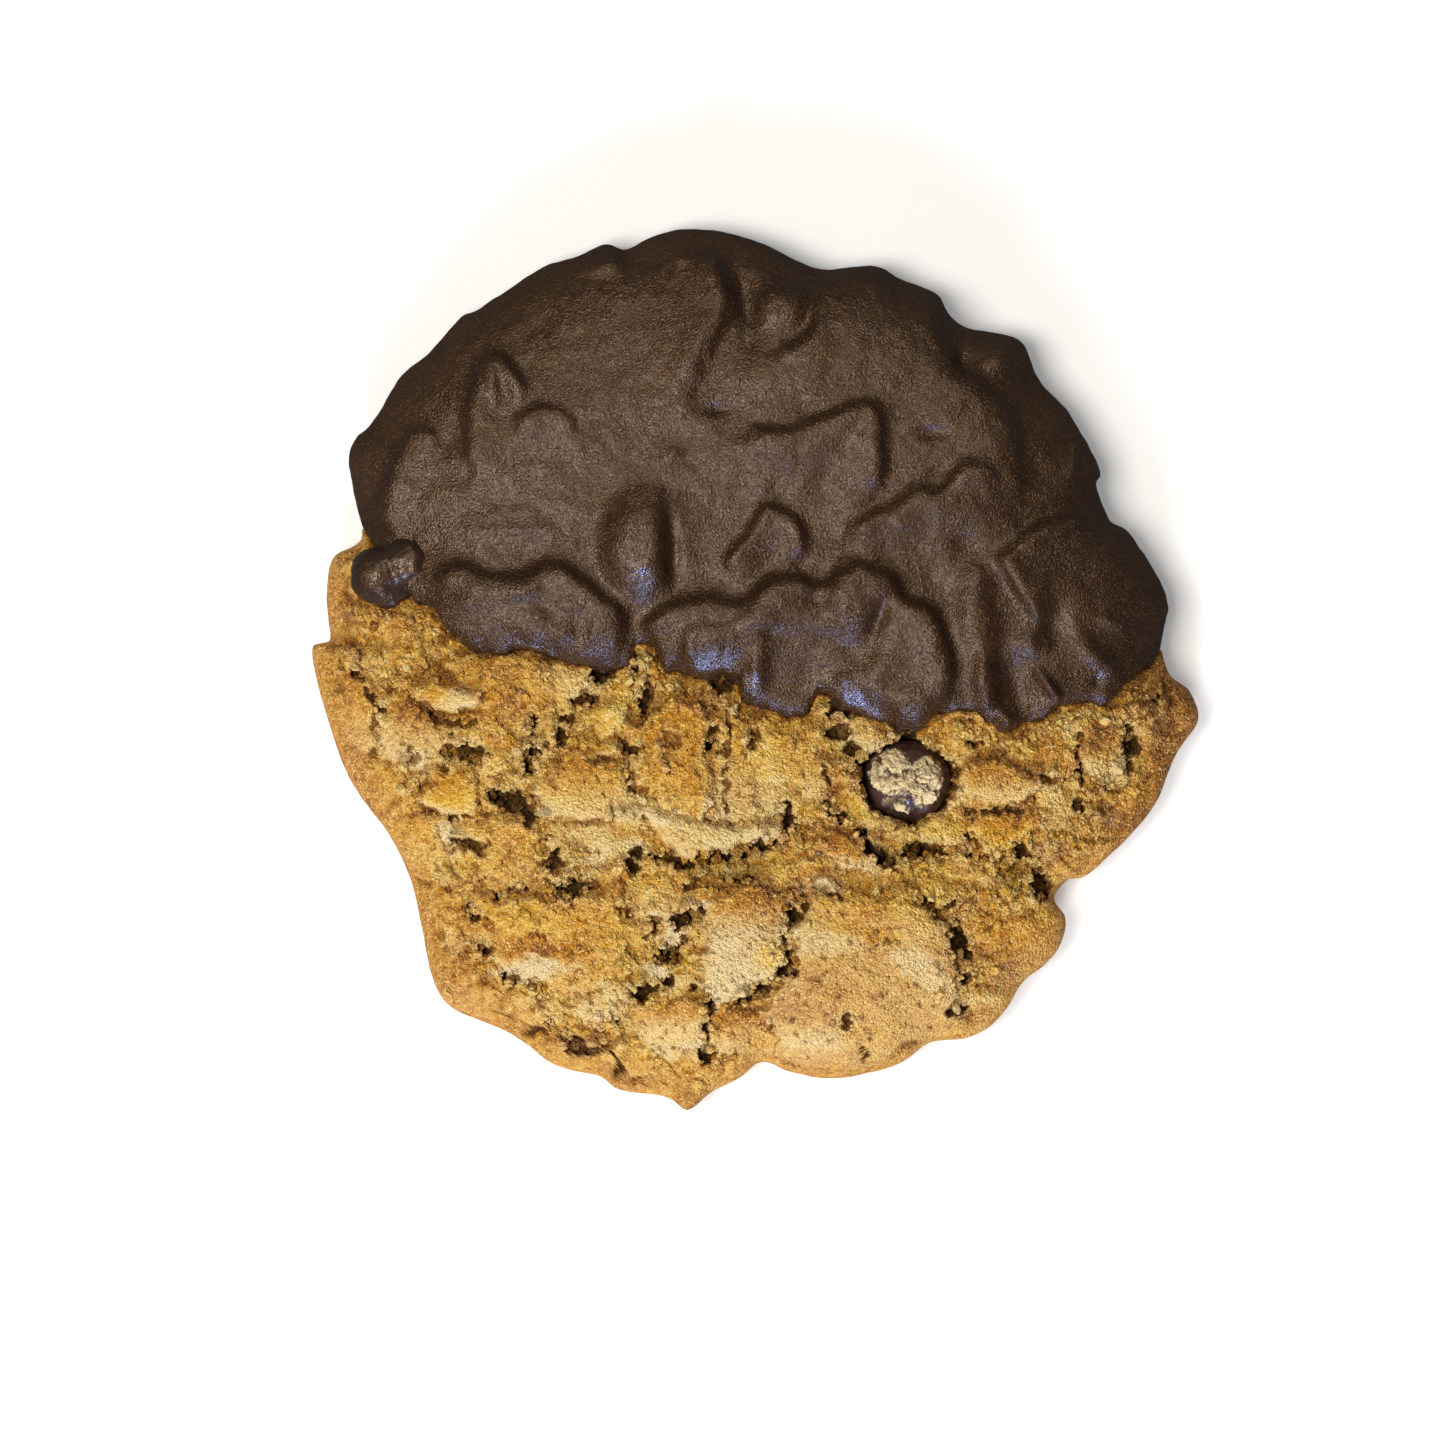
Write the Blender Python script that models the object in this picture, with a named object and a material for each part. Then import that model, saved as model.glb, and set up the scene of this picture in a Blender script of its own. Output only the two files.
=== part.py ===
"""Drop biscuit with a craggy crust, its upper part dipped in dark chocolate, and one chocolate chip
sunk in the crust beside the dip line.

The biscuit lies flat. +Z is up, the bare crust is towards -Y and the dipped part towards +Y. The
origin is on the table, under the middle of the biscuit's outline. Sizes are in millimetres and
degrees, and MM turns them into metres where a mesh is made.

Every skin is a stack of closed cross-cuts. A cross-cut starts on the left rim, runs over the top
to the right rim and comes back along the underside. The first one follows the dip line, and the
others turn into straight cuts that shrink to a point on the rim.
"""

import math

import bpy
import numpy as np

MM = 0.001

# Body of the biscuit: the widest level of its edge, and the rise from there to the middle.
EDGE_HEIGHT = 3.5
CROWN = 9.0
CROWN_FLATNESS = 4.0
FOOT_START = 0.9
CRUST_DROP = 2.0
RIM_FADE = 0.05

# Chocolate coat: its thickness over the core, the room left round the core, and the rounded lip.
COAT = 1.6
ROOM = 0.35
SPLIT = 0.2
LIP_DROPS = (0.9, 0.3)
LIP_STEPS = (0.008, 0.022)

# Chocolate chip: where it sits, half its sizes, and the room left round it in its pocket.
CHIP_AT = (13.5, -10.0, 8.9)
CHIP_HALF = (4.0, 3.5, 2.9)
CHIP_ROOM = 0.32
CHIP_TURN = -12.0

# How finely the cross-cuts are divided.
TOP_SPANS = 66
UNDER_SPANS = 10
CRUST_CUTS = 42
COAT_CUTS = 24
CORE_CUTS = 7
EVENNESS = 0.6

# The outline seen from above, as its crests and notches, clockwise from the top.
OUTLINE = (
    (-6.8, 39.6), (-3.2, 39.4), (0.9, 38.2), (4.0, 36.7), (6.3, 36.0), (10.8, 36.3), (13.0, 35.2),
    (16.2, 33.8), (17.5, 31.9), (19.3, 30.7), (23.8, 29.6), (25.4, 26.2), (28.3, 22.9), (31.0, 18.0),
    (30.7, 16.6), (31.8, 13.5), (33.5, 12.3), (36.4, 8.1), (37.1, 5.8), (36.9, 4.6), (36.6, 1.8),
    (37.3, -0.5), (39.1, -2.0), (39.8, -4.6), (37.8, -7.7), (35.5, -12.8), (30.1, -18.3),
    (28.1, -18.9), (26.9, -20.7), (27.9, -22.4), (27.4, -24.8), (22.9, -29.7), (18.9, -33.2),
    (15.7, -33.6), (12.6, -35.6), (7.2, -36.8), (3.1, -36.2), (0.6, -35.3), (-1.7, -36.9),
    (-4.0, -38.0), (-6.1, -39.7), (-8.0, -38.5), (-12.3, -37.8), (-14.0, -36.6), (-18.0, -35.6),
    (-22.0, -32.8), (-27.2, -30.5), (-29.0, -27.9), (-30.0, -23.3), (-31.0, -19.0), (-33.0, -14.8),
    (-36.5, -9.9), (-39.0, -2.8), (-39.9, 1.9), (-38.3, 2.6), (-38.6, 6.3), (-38.1, 9.9),
    (-36.0, 11.2), (-35.4, 12.6), (-36.6, 18.4), (-36.0, 20.7), (-34.7, 22.0), (-32.0, 26.2),
    (-29.3, 28.6), (-26.6, 31.6), (-24.8, 32.5), (-19.4, 36.0), (-15.8, 37.3), (-13.5, 38.3),
    (-11.7, 37.8), (-9.5, 38.8),
)

# The dip line from the left rim to the right rim, as the tips and bays of the chocolate's edge.
DIP_LINE = (
    (-35.6, 12.4), (-34.3, 9.4), (-33.8, 7.0), (-32.4, 5.5), (-30.9, 5.8), (-28.6, 4.1), (-26.4, 1.4),
    (-23.5, 0.9), (-19.8, 0.8), (-16.8, 0.1), (-13.4, -0.4), (-10.4, 1.2), (-8.0, -0.7), (-5.0, -1.5),
    (-2.6, -1.6), (0.0, -4.0), (3.5, -4.4), (6.3, -3.2), (9.0, -4.5), (12.2, -5.1), (15.0, -5.1),
    (17.6, -4.2), (20.4, -5.0), (22.8, -6.0), (25.4, -5.0), (28.6, -3.6), (32.0, -3.3), (34.9, -1.3),
    (36.8, 1.4),
)

# Crags and flakes of the crust: middle, half length, half width, turn, and lift over the floor.
CRAGS = {
    "left_long_flake": (-35.4, -3.6, 4.4, 1.7, -75, 1.7),
    "left_block": (-30.6, -6.6, 3.3, 3.0, 0, 1.6),
    "upper_left_ledge": (-28.0, -2.4, 3.5, 1.5, -15, 2.1),
    "upper_left_block": (-23.0, -2.0, 3.4, 3.2, 0, 1.7),
    "corner_flake": (-27.4, -11.0, 2.7, 2.0, -20, 1.9),
    "left_pale_block": (-26.5, -14.2, 2.1, 1.7, 0, 1.4),
    "left_low_block": (-30.2, -14.6, 2.0, 2.0, 0, 1.2),
    "left_rim_block": (-33.2, -10.6, 2.6, 1.9, -40, 1.4),
    "bead_side_flake": (-32.6, 2.9, 2.8, 1.6, 0, 1.6),
    "left_rim_flake": (-37.0, 1.0, 1.6, 2.0, 0, 1.2),
    "dip_side_block": (-16.2, -1.6, 2.8, 1.6, -8, 1.6),
    "dip_side_stub": (-13.0, -4.4, 3.0, 1.9, 0, 1.6),
    "middle_left_block": (-16.2, -9.4, 4.0, 3.0, 0, 2.0),
    "middle_block": (-6.3, -7.8, 4.0, 4.9, 0, 2.2),
    "middle_right_block": (1.3, -8.6, 3.6, 4.2, 0, 2.2),
    "right_step": (5.2, -8.4, 2.4, 3.8, 0, 1.8),
    "long_ledge": (-8.2, -14.0, 6.2, 1.6, -22, 2.3),
    "ledge_end": (-1.2, -14.2, 4.2, 1.5, 4, 2.1),
    "under_left_block": (-14.0, -16.0, 3.6, 2.8, 0, 1.5),
    "left_middle_block": (-22.4, -15.8, 3.6, 3.2, 0, 1.8),
    "valley_flake": (-6.2, -19.6, 3.2, 1.8, -10, 1.1),
    "valley_stub": (2.4, -17.6, 2.5, 1.5, 10, 1.0),
    "chip_side_block": (8.5, -15.6, 2.1, 1.8, -20, 1.5),
    "chip_top_stub": (9.6, -5.8, 2.0, 1.2, 0, 1.4),
    "right_flake": (21.6, -10.8, 3.1, 1.7, 5, 2.0),
    "right_golden_block": (22.2, -14.0, 2.7, 2.7, 0, 1.8),
    "right_pale_bar": (26.6, -12.4, 1.3, 2.6, 0, 1.4),
    "right_orange_block": (31.2, -8.0, 1.9, 2.2, 0, 1.6),
    "right_rim_bar": (35.0, -6.0, 1.5, 2.8, 10, 1.3),
    "right_dip_block": (18.6, -7.4, 2.4, 1.8, 0, 1.3),
    "right_slope": (30.2, -14.6, 4.2, 2.6, 38, 0.9),
    "lower_left_block": (-17.6, -23.4, 6.2, 4.2, 0, 2.0),
    "lower_left_crescent": (-25.8, -23.0, 2.8, 1.5, -5, 1.3),
    "lower_left_slope": (-24.6, -29.2, 3.2, 1.5, -20, 1.0),
    "lower_ridge": (-14.4, -29.4, 4.2, 1.3, 28, 1.4),
    "bottom_flake": (-11.0, -35.0, 2.4, 2.0, 0, 1.4),
    "bottom_left_ledge": (-20.4, -31.0, 2.6, 1.3, 10, 1.2),
    "white_plate": (-1.3, -26.2, 4.0, 3.6, 0, 1.9),
    "seam_block": (-8.4, -21.6, 2.7, 2.2, 0, 1.4),
    "bottom_block": (-7.6, -31.4, 2.8, 2.0, 0, 1.5),
    "bottom_right_block": (-1.4, -32.6, 2.6, 2.2, 0, 1.6),
    "great_plate": (8.2, -28.0, 9.2, 6.8, -25, 2.2),
    "plate_crown": (7.0, -21.8, 6.6, 2.2, -8, 1.8),
    "plate_left_crown": (-0.6, -21.4, 3.6, 1.8, 0, 1.3),
    "right_low_slope": (21.8, -23.6, 4.0, 2.8, 35, 1.1),
    "valley_right_block": (16.0, -18.6, 4.6, 1.8, -8, 1.0),
}

# Cracks and holes of the crust: middle, half length, half width, turn, and depth.
HOLES = {
    "upright_crack": (-19.9, -6.6, 2.8, 0.8, 83, 2.2),
    "ragged_hole": (-21.6, -11.9, 2.2, 0.9, -16, 2.2),
    "left_recess": (-25.6, -7.4, 1.6, 0.9, 0, 1.4),
    "dip_side_crack": (-10.0, -2.8, 2.0, 0.8, 82, 1.6),
    "middle_crack": (-11.1, -8.8, 2.6, 0.7, 80, 1.2),
    "bay_hole": (-3.2, -2.6, 1.3, 0.8, 0, 1.2),
    "seam_crack": (-2.6, -9.8, 4.0, 0.6, 84, 1.2),
    "ledge_shadow_left": (-8.0, -16.9, 3.2, 0.8, -16, 1.6),
    "ledge_shadow_right": (-1.2, -16.6, 4.4, 0.9, 4, 1.6),
    "right_seam": (3.0, -13.6, 2.6, 0.7, 80, 1.3),
    "chip_side_slot": (11.0, -15.8, 1.8, 0.9, -50, 2.0),
    "chip_under_valley": (16.6, -16.4, 4.4, 0.9, -2, 1.3),
    "right_notch_hole": (25.3, -18.6, 1.6, 1.1, 60, 1.4),
    "right_tall_slot": (29.0, -8.2, 2.2, 0.6, 88, 1.5),
    "rim_slot": (33.2, -6.6, 1.8, 0.6, 80, 1.1),
    "crescent_hole": (-16.2, -19.7, 2.0, 0.8, -10, 1.4),
    "plate_corner_hole": (18.0, -24.2, 1.0, 1.5, 10, 2.0),
    "plate_left_hole": (-5.6, -22.0, 1.6, 0.9, 50, 2.2),
    "white_plate_side": (-7.4, -25.6, 1.6, 1.2, 70, 2.0),
    "low_hole": (-9.2, -28.6, 1.9, 1.0, 10, 2.2),
    "seam_low": (-11.4, -21.6, 3.4, 0.6, 82, 1.1),
    "white_plate_under": (0.9, -29.0, 3.6, 0.7, 38, 1.4),
    "bottom_crack": (-4.3, -33.4, 2.8, 0.8, 84, 1.6),
    "under_ledge": (-28.8, -19.2, 2.8, 0.7, -16, 1.2),
    "left_bottom_recess": (-25.6, -26.0, 2.4, 0.9, -10, 1.2),
    "bottom_left_recess": (-18.0, -33.2, 2.4, 0.9, -12, 1.1),
}

# Terrace edges of the chocolate: the walk along the edge with the raised side on the right hand,
# then the height of the terrace, the half width of its slope and how far it reaches back.
TERRACES = {
    "front_left_lobe": (((-29.2, 6.6), (-27.0, 9.1), (-22.0, 8.1), (-18.4, 9.2), (-15.0, 7.6),
                         (-12.4, 5.6), (-11.9, 3.6), (-12.6, 0.4)), 1.25, 1.0, 6.0),
    "front_lobe": (((-10.1, 1.0), (-9.3, 4.5), (-6.0, 6.0), (-2.0, 5.8), (0.6, 7.3), (4.0, 8.0),
                    (6.0, 7.4), (9.2, 9.2), (12.2, 7.8), (14.3, 5.7), (16.5, 3.6), (17.4, 0.0),
                    (15.6, -5.4)), 1.5, 1.1, 7.0),
    "second_front_lobe": (((-6.3, 0.0), (-5.9, 3.4), (-2.0, 4.1), (0.3, 6.2)), 0.8, 0.8, 3.0),
    "tent": (((-2.9, 8.4), (-0.2, 12.9), (0.9, 14.4), (3.4, 13.4), (4.0, 9.4)), 0.8, 0.8, 3.0),
    "middle_block": (((-1.2, 21.6), (3.0, 21.3), (7.0, 22.8), (10.4, 23.4), (11.3, 20.0),
                      (10.8, 15.2)), 1.1, 0.9, 4.5),
    "right_shelf": (((7.4, 12.0), (12.0, 14.3), (14.2, 16.0), (17.0, 16.5), (19.5, 18.3),
                     (21.9, 16.2)), 1.0, 0.9, 4.0),
    "east_lobe": (((25.4, 3.4), (22.6, 8.0), (21.7, 9.7), (25.5, 12.9), (31.4, 13.2)), 1.1, 0.9, 5.0),
    "left_arc": (((-21.8, 21.8), (-18.8, 23.4), (-15.8, 21.8)), 0.6, 0.8, 2.8),
    "left_peak": (((-25.9, 17.6), (-25.7, 23.2), (-23.6, 28.0), (-19.8, 24.0)), 0.8, 0.8, 3.2),
    "left_crease": (((-34.2, 12.0), (-31.6, 20.0), (-30.2, 21.3), (-27.7, 20.2)), 0.75, 0.8, 3.0),
    "top_block": (((-4.6, 38.2), (-2.7, 34.6), (-2.8, 31.0), (-4.7, 24.7)), 1.1, 0.9, 4.5),
    "upper_plateau_west": (((1.6, 28.6), (4.8, 30.2), (5.3, 32.3), (7.8, 35.9)), 0.9, 0.8, 5.5),
    "upper_plateau_east": (((15.6, 34.2), (16.9, 30.0), (18.2, 26.7), (22.8, 22.0), (23.4, 14.4)),
                           1.2, 1.2, 9.0),
}

# Bumps and dents of the chocolate: middle, half length, half width, turn, height and flatness.
BUMPS = {
    "edge_bead": (-32.4, 8.7, 3.2, 2.9, 25, 1.9, 1.8),
    "tall_nub": (-10.1, 11.2, 3.0, 4.3, -6, 1.9, 1.6),
    "nub_hollow": (-7.6, 11.0, 0.9, 3.0, 4, -0.8, 1.0),
    "small_lobe": (1.5, 5.6, 2.2, 1.7, 0, 0.7, 1.3),
    "central_ridge": (0.1, 0.4, 0.9, 2.5, -8, 0.9, 1.0),
    "right_lobe": (8.6, 5.9, 1.7, 2.7, -12, 0.9, 1.5),
    "right_hollow": (11.0, 4.6, 0.9, 1.8, -25, -0.6, 1.0),
    "front_bump": (11.3, 0.3, 1.5, 1.2, 20, 0.5, 1.0),
    "right_ridge": (19.8, 2.4, 1.7, 6.5, 3, 0.8, 1.2),
    "right_valley": (23.2, -2.0, 1.5, 3.0, 10, -0.6, 1.0),
    "toe": (22.3, -4.6, 1.3, 1.2, 0, 0.6, 1.3),
    "east_valley": (26.8, 4.6, 1.2, 2.6, 8, -0.5, 1.0),
    "glint_bump": (30.3, 1.2, 1.8, 0.9, -38, 0.6, 1.2),
    "crown_bump": (2.6, 32.6, 2.0, 2.0, -20, 1.0, 1.6),
    "crown_valley": (-0.9, 32.5, 1.0, 3.2, 8, -0.6, 1.0),
    "crest_bump": (-14.0, 36.4, 2.0, 1.0, 10, 0.6, 1.2),
    "corner_bump": (21.6, 28.0, 1.5, 1.3, 0, 0.6, 1.2),
    "top_hollow": (-4.6, 27.0, 0.9, 2.0, -12, -0.6, 1.0),
}

# Colour, roughness and metallic value of each piece.
CRUST_FINISH = ((0.50, 0.27, 0.075, 1.0), 0.85, 0.0)
COAT_FINISH = ((0.075, 0.042, 0.026, 1.0), 0.42, 0.0)
CHIP_FINISH = ((0.050, 0.028, 0.020, 1.0), 0.40, 0.0)


def ease(t):
    """Smooth step: 0 below 0, 1 above 1, level at both ends."""
    t = np.clip(t, 0.0, 1.0)
    return t * t * (3.0 - 2.0 * t)


def spline(points, closed=False, per_span=8):
    """Catmull-Rom curve through points, with per_span steps from each point to the next."""
    knots = np.array(points, dtype=float)
    count = len(knots)
    first = np.arange(count if closed else count - 1)

    def knot(shift):
        """The knots shifted along the list, wrapped round or held at its ends."""
        place = (first + shift) % count if closed else np.clip(first + shift, 0, count - 1)
        return knots[place][:, None]

    before, start, end, after = knot(-1), knot(0), knot(1), knot(2)
    t = (np.arange(per_span) / per_span)[None, :, None]
    curve = 0.5 * (2.0 * start + (end - before) * t
                   + (2.0 * before - 5.0 * start + 4.0 * end - after) * t ** 2
                   + (3.0 * start - before - 3.0 * end + after) * t ** 3)
    curve = curve.reshape(-1, 2)
    return curve if closed else np.vstack([curve, knots[-1:]])


def even_steps(curve, shares):
    """Points of a curve at the given shares of its length."""
    run = np.concatenate([[0.0], np.cumsum(np.hypot(*np.diff(curve, axis=0).T))])
    wanted = np.asarray(shares) * run[-1]
    return np.stack([np.interp(wanted, run, curve[:, k]) for k in (0, 1)], axis=-1)


def right_hand(path):
    """Unit vectors at right angles to a path, on the right hand of the walk."""
    along = np.gradient(path, axis=0)
    along /= np.hypot(along[:, 0], along[:, 1])[:, None]
    return np.stack([along[:, 1], -along[:, 0]], axis=-1)


class Rim:
    """The outline as a distance from the origin for each bearing, sharp and softened."""

    SOFT_ARC = 20.0

    def __init__(self):
        curve = spline(OUTLINE, closed=True)
        bearing = np.arctan2(curve[:, 1], curve[:, 0])
        order = np.argsort(bearing)
        self.bearing = bearing[order]
        self.reach = np.hypot(curve[:, 0], curve[:, 1])[order]
        self.ring = np.radians(np.arange(-180.0, 180.0))
        arc = np.radians(np.linspace(-self.SOFT_ARC, self.SOFT_ARC, 41))
        self.soft = self.sharp(self.ring[:, None] + arc[None, :]).mean(axis=1)

    def sharp(self, bearing):
        """Distance of the outline itself."""
        return np.interp(bearing, self.bearing, self.reach, period=2.0 * math.pi)

    def reach_at(self, bearing, share):
        """Distance that a share of 1 stands for: soft near the middle, sharp at the rim."""
        soft = np.interp(bearing, self.ring, self.soft, period=2.0 * math.pi)
        return soft + (self.sharp(bearing) - soft) * share ** 4

    def to_disc(self, points):
        """Points on the table as points of the unit disc."""
        bearing = np.arctan2(points[..., 1], points[..., 0])
        distance = np.hypot(points[..., 0], points[..., 1])
        share = distance / self.sharp(bearing)
        for _ in range(12):
            share = np.clip(distance / self.reach_at(bearing, np.clip(share, 0.0, 1.0)), 0.0, 1.0)
        return np.stack([share * np.cos(bearing), share * np.sin(bearing)], axis=-1)

    def to_table(self, disc, inset):
        """Points of the unit disc on the table, with the outline drawn in by inset."""
        bearing = np.arctan2(disc[..., 1], disc[..., 0])
        share = np.clip(np.hypot(disc[..., 0], disc[..., 1]), 0.0, 1.0)
        distance = share * (self.reach_at(bearing, share) - inset)
        return distance * np.cos(bearing), distance * np.sin(bearing), share


RIM = Rim()


def ellipse_reach(x, y, row):
    """How far a point lies from a row's middle, as a share of its half sizes, squared."""
    middle_x, middle_y, half_length, half_width, turn = row[:5]
    cos_turn = math.cos(math.radians(turn))
    sin_turn = math.sin(math.radians(turn))
    along = ((x - middle_x) * cos_turn + (y - middle_y) * sin_turn) / half_length
    across = ((y - middle_y) * cos_turn - (x - middle_x) * sin_turn) / half_width
    return along ** 2 + across ** 2


def ripple(x, y, wave):
    """Slow uneven swell between -1 and 1, from three crossed waves of about that wavelength."""
    k = 2.0 * math.pi / wave
    swell = np.sin(k * (x + 0.35 * y) + 0.7)
    swell = swell + np.sin(k * (0.8 * y - 0.45 * x) + 2.1 * np.sin(0.5 * k * x) + 1.9)
    swell = swell + np.sin(k * (0.62 * x + 0.9 * y) + 1.3 * np.sin(0.6 * k * y) + 4.2)
    return swell / 3.0


def crust_relief(x, y):
    """Height of the bare crust over the smooth body: the highest crag, less its holes."""
    floor = 0.35 * ripple(x, y, 9.0) - CRUST_DROP
    height = floor
    ragged = 0.16 * ripple(x, y, 3.7) + 0.10 * ripple(y, x, 2.3)
    for crag in CRAGS.values():
        share = np.sqrt(ellipse_reach(x, y, crag)) + ragged
        edge = ease((1.15 - share) / 0.42)
        crown = 1.0 - 0.18 * np.clip(share, 0.0, 1.0) ** 2
        height = np.maximum(height, floor + crag[5] * edge * crown)
    for hole in HOLES.values():
        height = height - hole[5] * np.exp(-ellipse_reach(x, y, hole) ** 1.5)
    return height


def terrace(x, y, points, height, slope, reach):
    """A step along a walk: full height just right of it, fading over reach, nothing on its left."""
    path = even_steps(spline(points), np.linspace(0.0, 1.0, 60))
    share = np.linspace(0.0, 1.0, 60)
    window = ease(share / 0.12) * ease((1.0 - share) / 0.12)
    total, offset, gap, ends = np.full(x.shape, 1e-9), 0.0, 0.0, 0.0
    for (at_x, at_y), (out_x, out_y), weight in zip(path, right_hand(path), window):
        square = (x - at_x) ** 2 + (y - at_y) ** 2
        near = 1.0 / (square + 0.2) ** 2
        total = total + near
        offset = offset + near * ((x - at_x) * out_x + (y - at_y) * out_y)
        gap = gap + near * np.sqrt(square)
        ends = ends + near * weight
    gap = gap / total
    width = 0.7 * slope + 0.45 * gap
    rise = ease((offset / total + width) / (2.0 * width))
    return height * rise * np.exp(-(gap / reach) ** 2) * ends / total


def coat_relief(x, y):
    """Height of the chocolate over the smooth body: its terraces, bumps and dents added up."""
    height = np.zeros(x.shape)
    for points, rise, slope, reach in TERRACES.values():
        height = height + terrace(x, y, points, rise, slope, reach)
    for bump in BUMPS.values():
        height = height + bump[5] * np.exp(-ellipse_reach(x, y, bump) ** bump[6])
    return height


def top_height(x, y, share, inset, relief, drop):
    """The upper skin: a flattened dome, lowered by drop, with relief that dies away at the rim."""
    height = EDGE_HEIGHT + (CROWN - inset - drop) * np.sqrt(1.0 - share ** CROWN_FLATNESS)
    if relief is not None:
        height = height + relief(x, y) * ease((1.0 - share) / RIM_FADE)
    return height


def under_height(share, inset):
    """The underside: flat on the table, then a quarter round up to the widest level."""
    turn_up = np.clip((share - FOOT_START) / (1.0 - FOOT_START), 0.0, 1.0)
    return inset + (EDGE_HEIGHT - inset) * (1.0 - np.sqrt(1.0 - turn_up ** 2))


class Cuts:
    """Cross-cuts on one side of the dip line, from the line itself to a point on the rim."""

    def __init__(self, side):
        line = even_steps(spline(DIP_LINE), np.linspace(0.0, 1.0, 241))
        shifted = RIM.to_disc(line - side * SPLIT * right_hand(line))
        for end in (0, -1):
            shifted[end] /= np.hypot(*shifted[end])
        self.line = shifted
        self.left = math.atan2(shifted[0][1], shifted[0][0]) % (2.0 * math.pi)
        self.right = math.atan2(shifted[-1][1], shifted[-1][0])
        self.left_goal = math.radians(90.0 if side > 0 else 270.0)
        self.right_goal = math.radians(90.0 if side > 0 else -90.0)

    def chord(self, step, shares):
        """Straight cut of the disc, its ends moved along the rim towards the final point."""
        left = self.left + (self.left_goal - self.left) * step
        right = self.right + (self.right_goal - self.right) * step
        start = np.array([math.cos(left), math.sin(left)])
        end = np.array([math.cos(right), math.sin(right)])
        return start + (end - start) * shares[:, None]

    def loop(self, step, inset, relief, drop=0.0):
        """One closed cross-cut: over the top from left to right, then back underneath."""
        even = np.linspace(0.0, 1.0, TOP_SPANS + 1)
        over = EVENNESS * even + (1.0 - EVENNESS) * 0.5 * (1.0 - np.cos(math.pi * even))
        back = 0.5 * (1.0 + np.cos(math.pi * np.linspace(0.0, 1.0, UNDER_SPANS + 1)[1:-1]))
        rows = []
        for shares, under in ((over, False), (back, True)):
            bend = even_steps(self.line, shares) - self.chord(0.0, shares)
            disc = self.chord(step, shares) + (1.0 - step) ** 2 * bend
            x, y, share = RIM.to_table(disc, inset)
            if under:
                z = under_height(share, inset)
            else:
                z = top_height(x, y, share, inset, relief, drop)
            rows.append(np.stack([x, y, z], axis=-1))
        return np.vstack(rows)

    def tip(self, inset):
        """The point on the rim where the cross-cuts end."""
        disc = np.array([math.cos(self.right_goal), math.sin(self.right_goal)])
        x, y, _ = RIM.to_table(disc, inset)
        return np.array([x, y, EDGE_HEIGHT])


def skin_mesh(name, start_tip, loops, end_tip):
    """Closed mesh from a tip through a stack of loops to another tip, in metres, faces outwards."""
    count = len(loops[0])
    points = np.vstack([start_tip[None]] + loops + [end_tip[None]]) * MM
    here = np.arange(count)
    after = (here + 1) % count
    faces = [np.stack([np.zeros(count, int), 1 + here, 1 + after], axis=-1)]
    for row in range(len(loops) - 1):
        near, far = 1 + row * count, 1 + (row + 1) * count
        faces.append(np.stack([near + here, far + here, far + after], axis=-1))
        faces.append(np.stack([near + here, far + after, near + after], axis=-1))
    last = 1 + (len(loops) - 1) * count
    faces.append(np.stack([last + here, np.full(count, len(points) - 1), last + after], axis=-1))
    faces = np.vstack(faces)
    a, b, c = (points[faces[:, k]] for k in range(3))
    if np.einsum("ij,ij->i", a, np.cross(b, c)).sum() < 0.0:
        faces = faces[:, ::-1]
    mesh = bpy.data.meshes.new(name)
    mesh.from_pydata(points.tolist(), [], faces.tolist())
    mesh.validate()
    mesh.shade_smooth()
    return mesh


def add_object(name, mesh):
    """A named object in the scene's collection."""
    piece = bpy.data.objects.new(name, mesh)
    bpy.context.scene.collection.objects.link(piece)
    return piece


def add_material(piece, finish):
    """A Principled material of the piece's own: colour, roughness and metallic value."""
    colour, roughness, metallic = finish
    material = bpy.data.materials.new(piece.name)
    material.use_nodes = True
    shader = material.node_tree.nodes["Principled BSDF"]
    shader.inputs["Base Color"].default_value = colour
    shader.inputs["Roughness"].default_value = roughness
    shader.inputs["Metallic"].default_value = metallic
    material.diffuse_color = colour
    piece.data.materials.append(material)


def biscuit_mesh():
    """Bare crust from its bottom tip to the dip line, a step in, and the smooth core beyond it."""
    bare = Cuts(side=-1)
    steps = np.arange(CRUST_CUTS - 1, -1, -1) / CRUST_CUTS
    loops = [bare.loop(step, 0.0, crust_relief) for step in steps]
    core = Cuts(side=1)
    core.line, core.left, core.right = bare.line, bare.left, bare.right
    inset = COAT + ROOM
    loops += [core.loop(step, inset, None) for step in np.arange(CORE_CUTS) / CORE_CUTS]
    return skin_mesh("biscuit", bare.tip(0.0), loops, core.tip(inset))


def coat_mesh():
    """The coat's outer skin from its tip to the lip, then its inner skin back round the core."""
    dipped = Cuts(side=1)
    even = LIP_STEPS[1] + (1.0 - LIP_STEPS[1]) * np.arange(1, COAT_CUTS) / COAT_CUTS
    outer = [dipped.loop(step, 0.0, coat_relief) for step in even[::-1]]
    for step, drop in ((LIP_STEPS[1], 0.0), (LIP_STEPS[0], LIP_DROPS[1]), (0.0, LIP_DROPS[0])):
        outer.append(dipped.loop(step, 0.0, coat_relief, drop))
    inner = [dipped.loop(step, COAT, None) for step in np.arange(CORE_CUTS) / CORE_CUTS]
    return skin_mesh("chocolate_coat", dipped.tip(0.0), outer + inner, dipped.tip(COAT))


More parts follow.
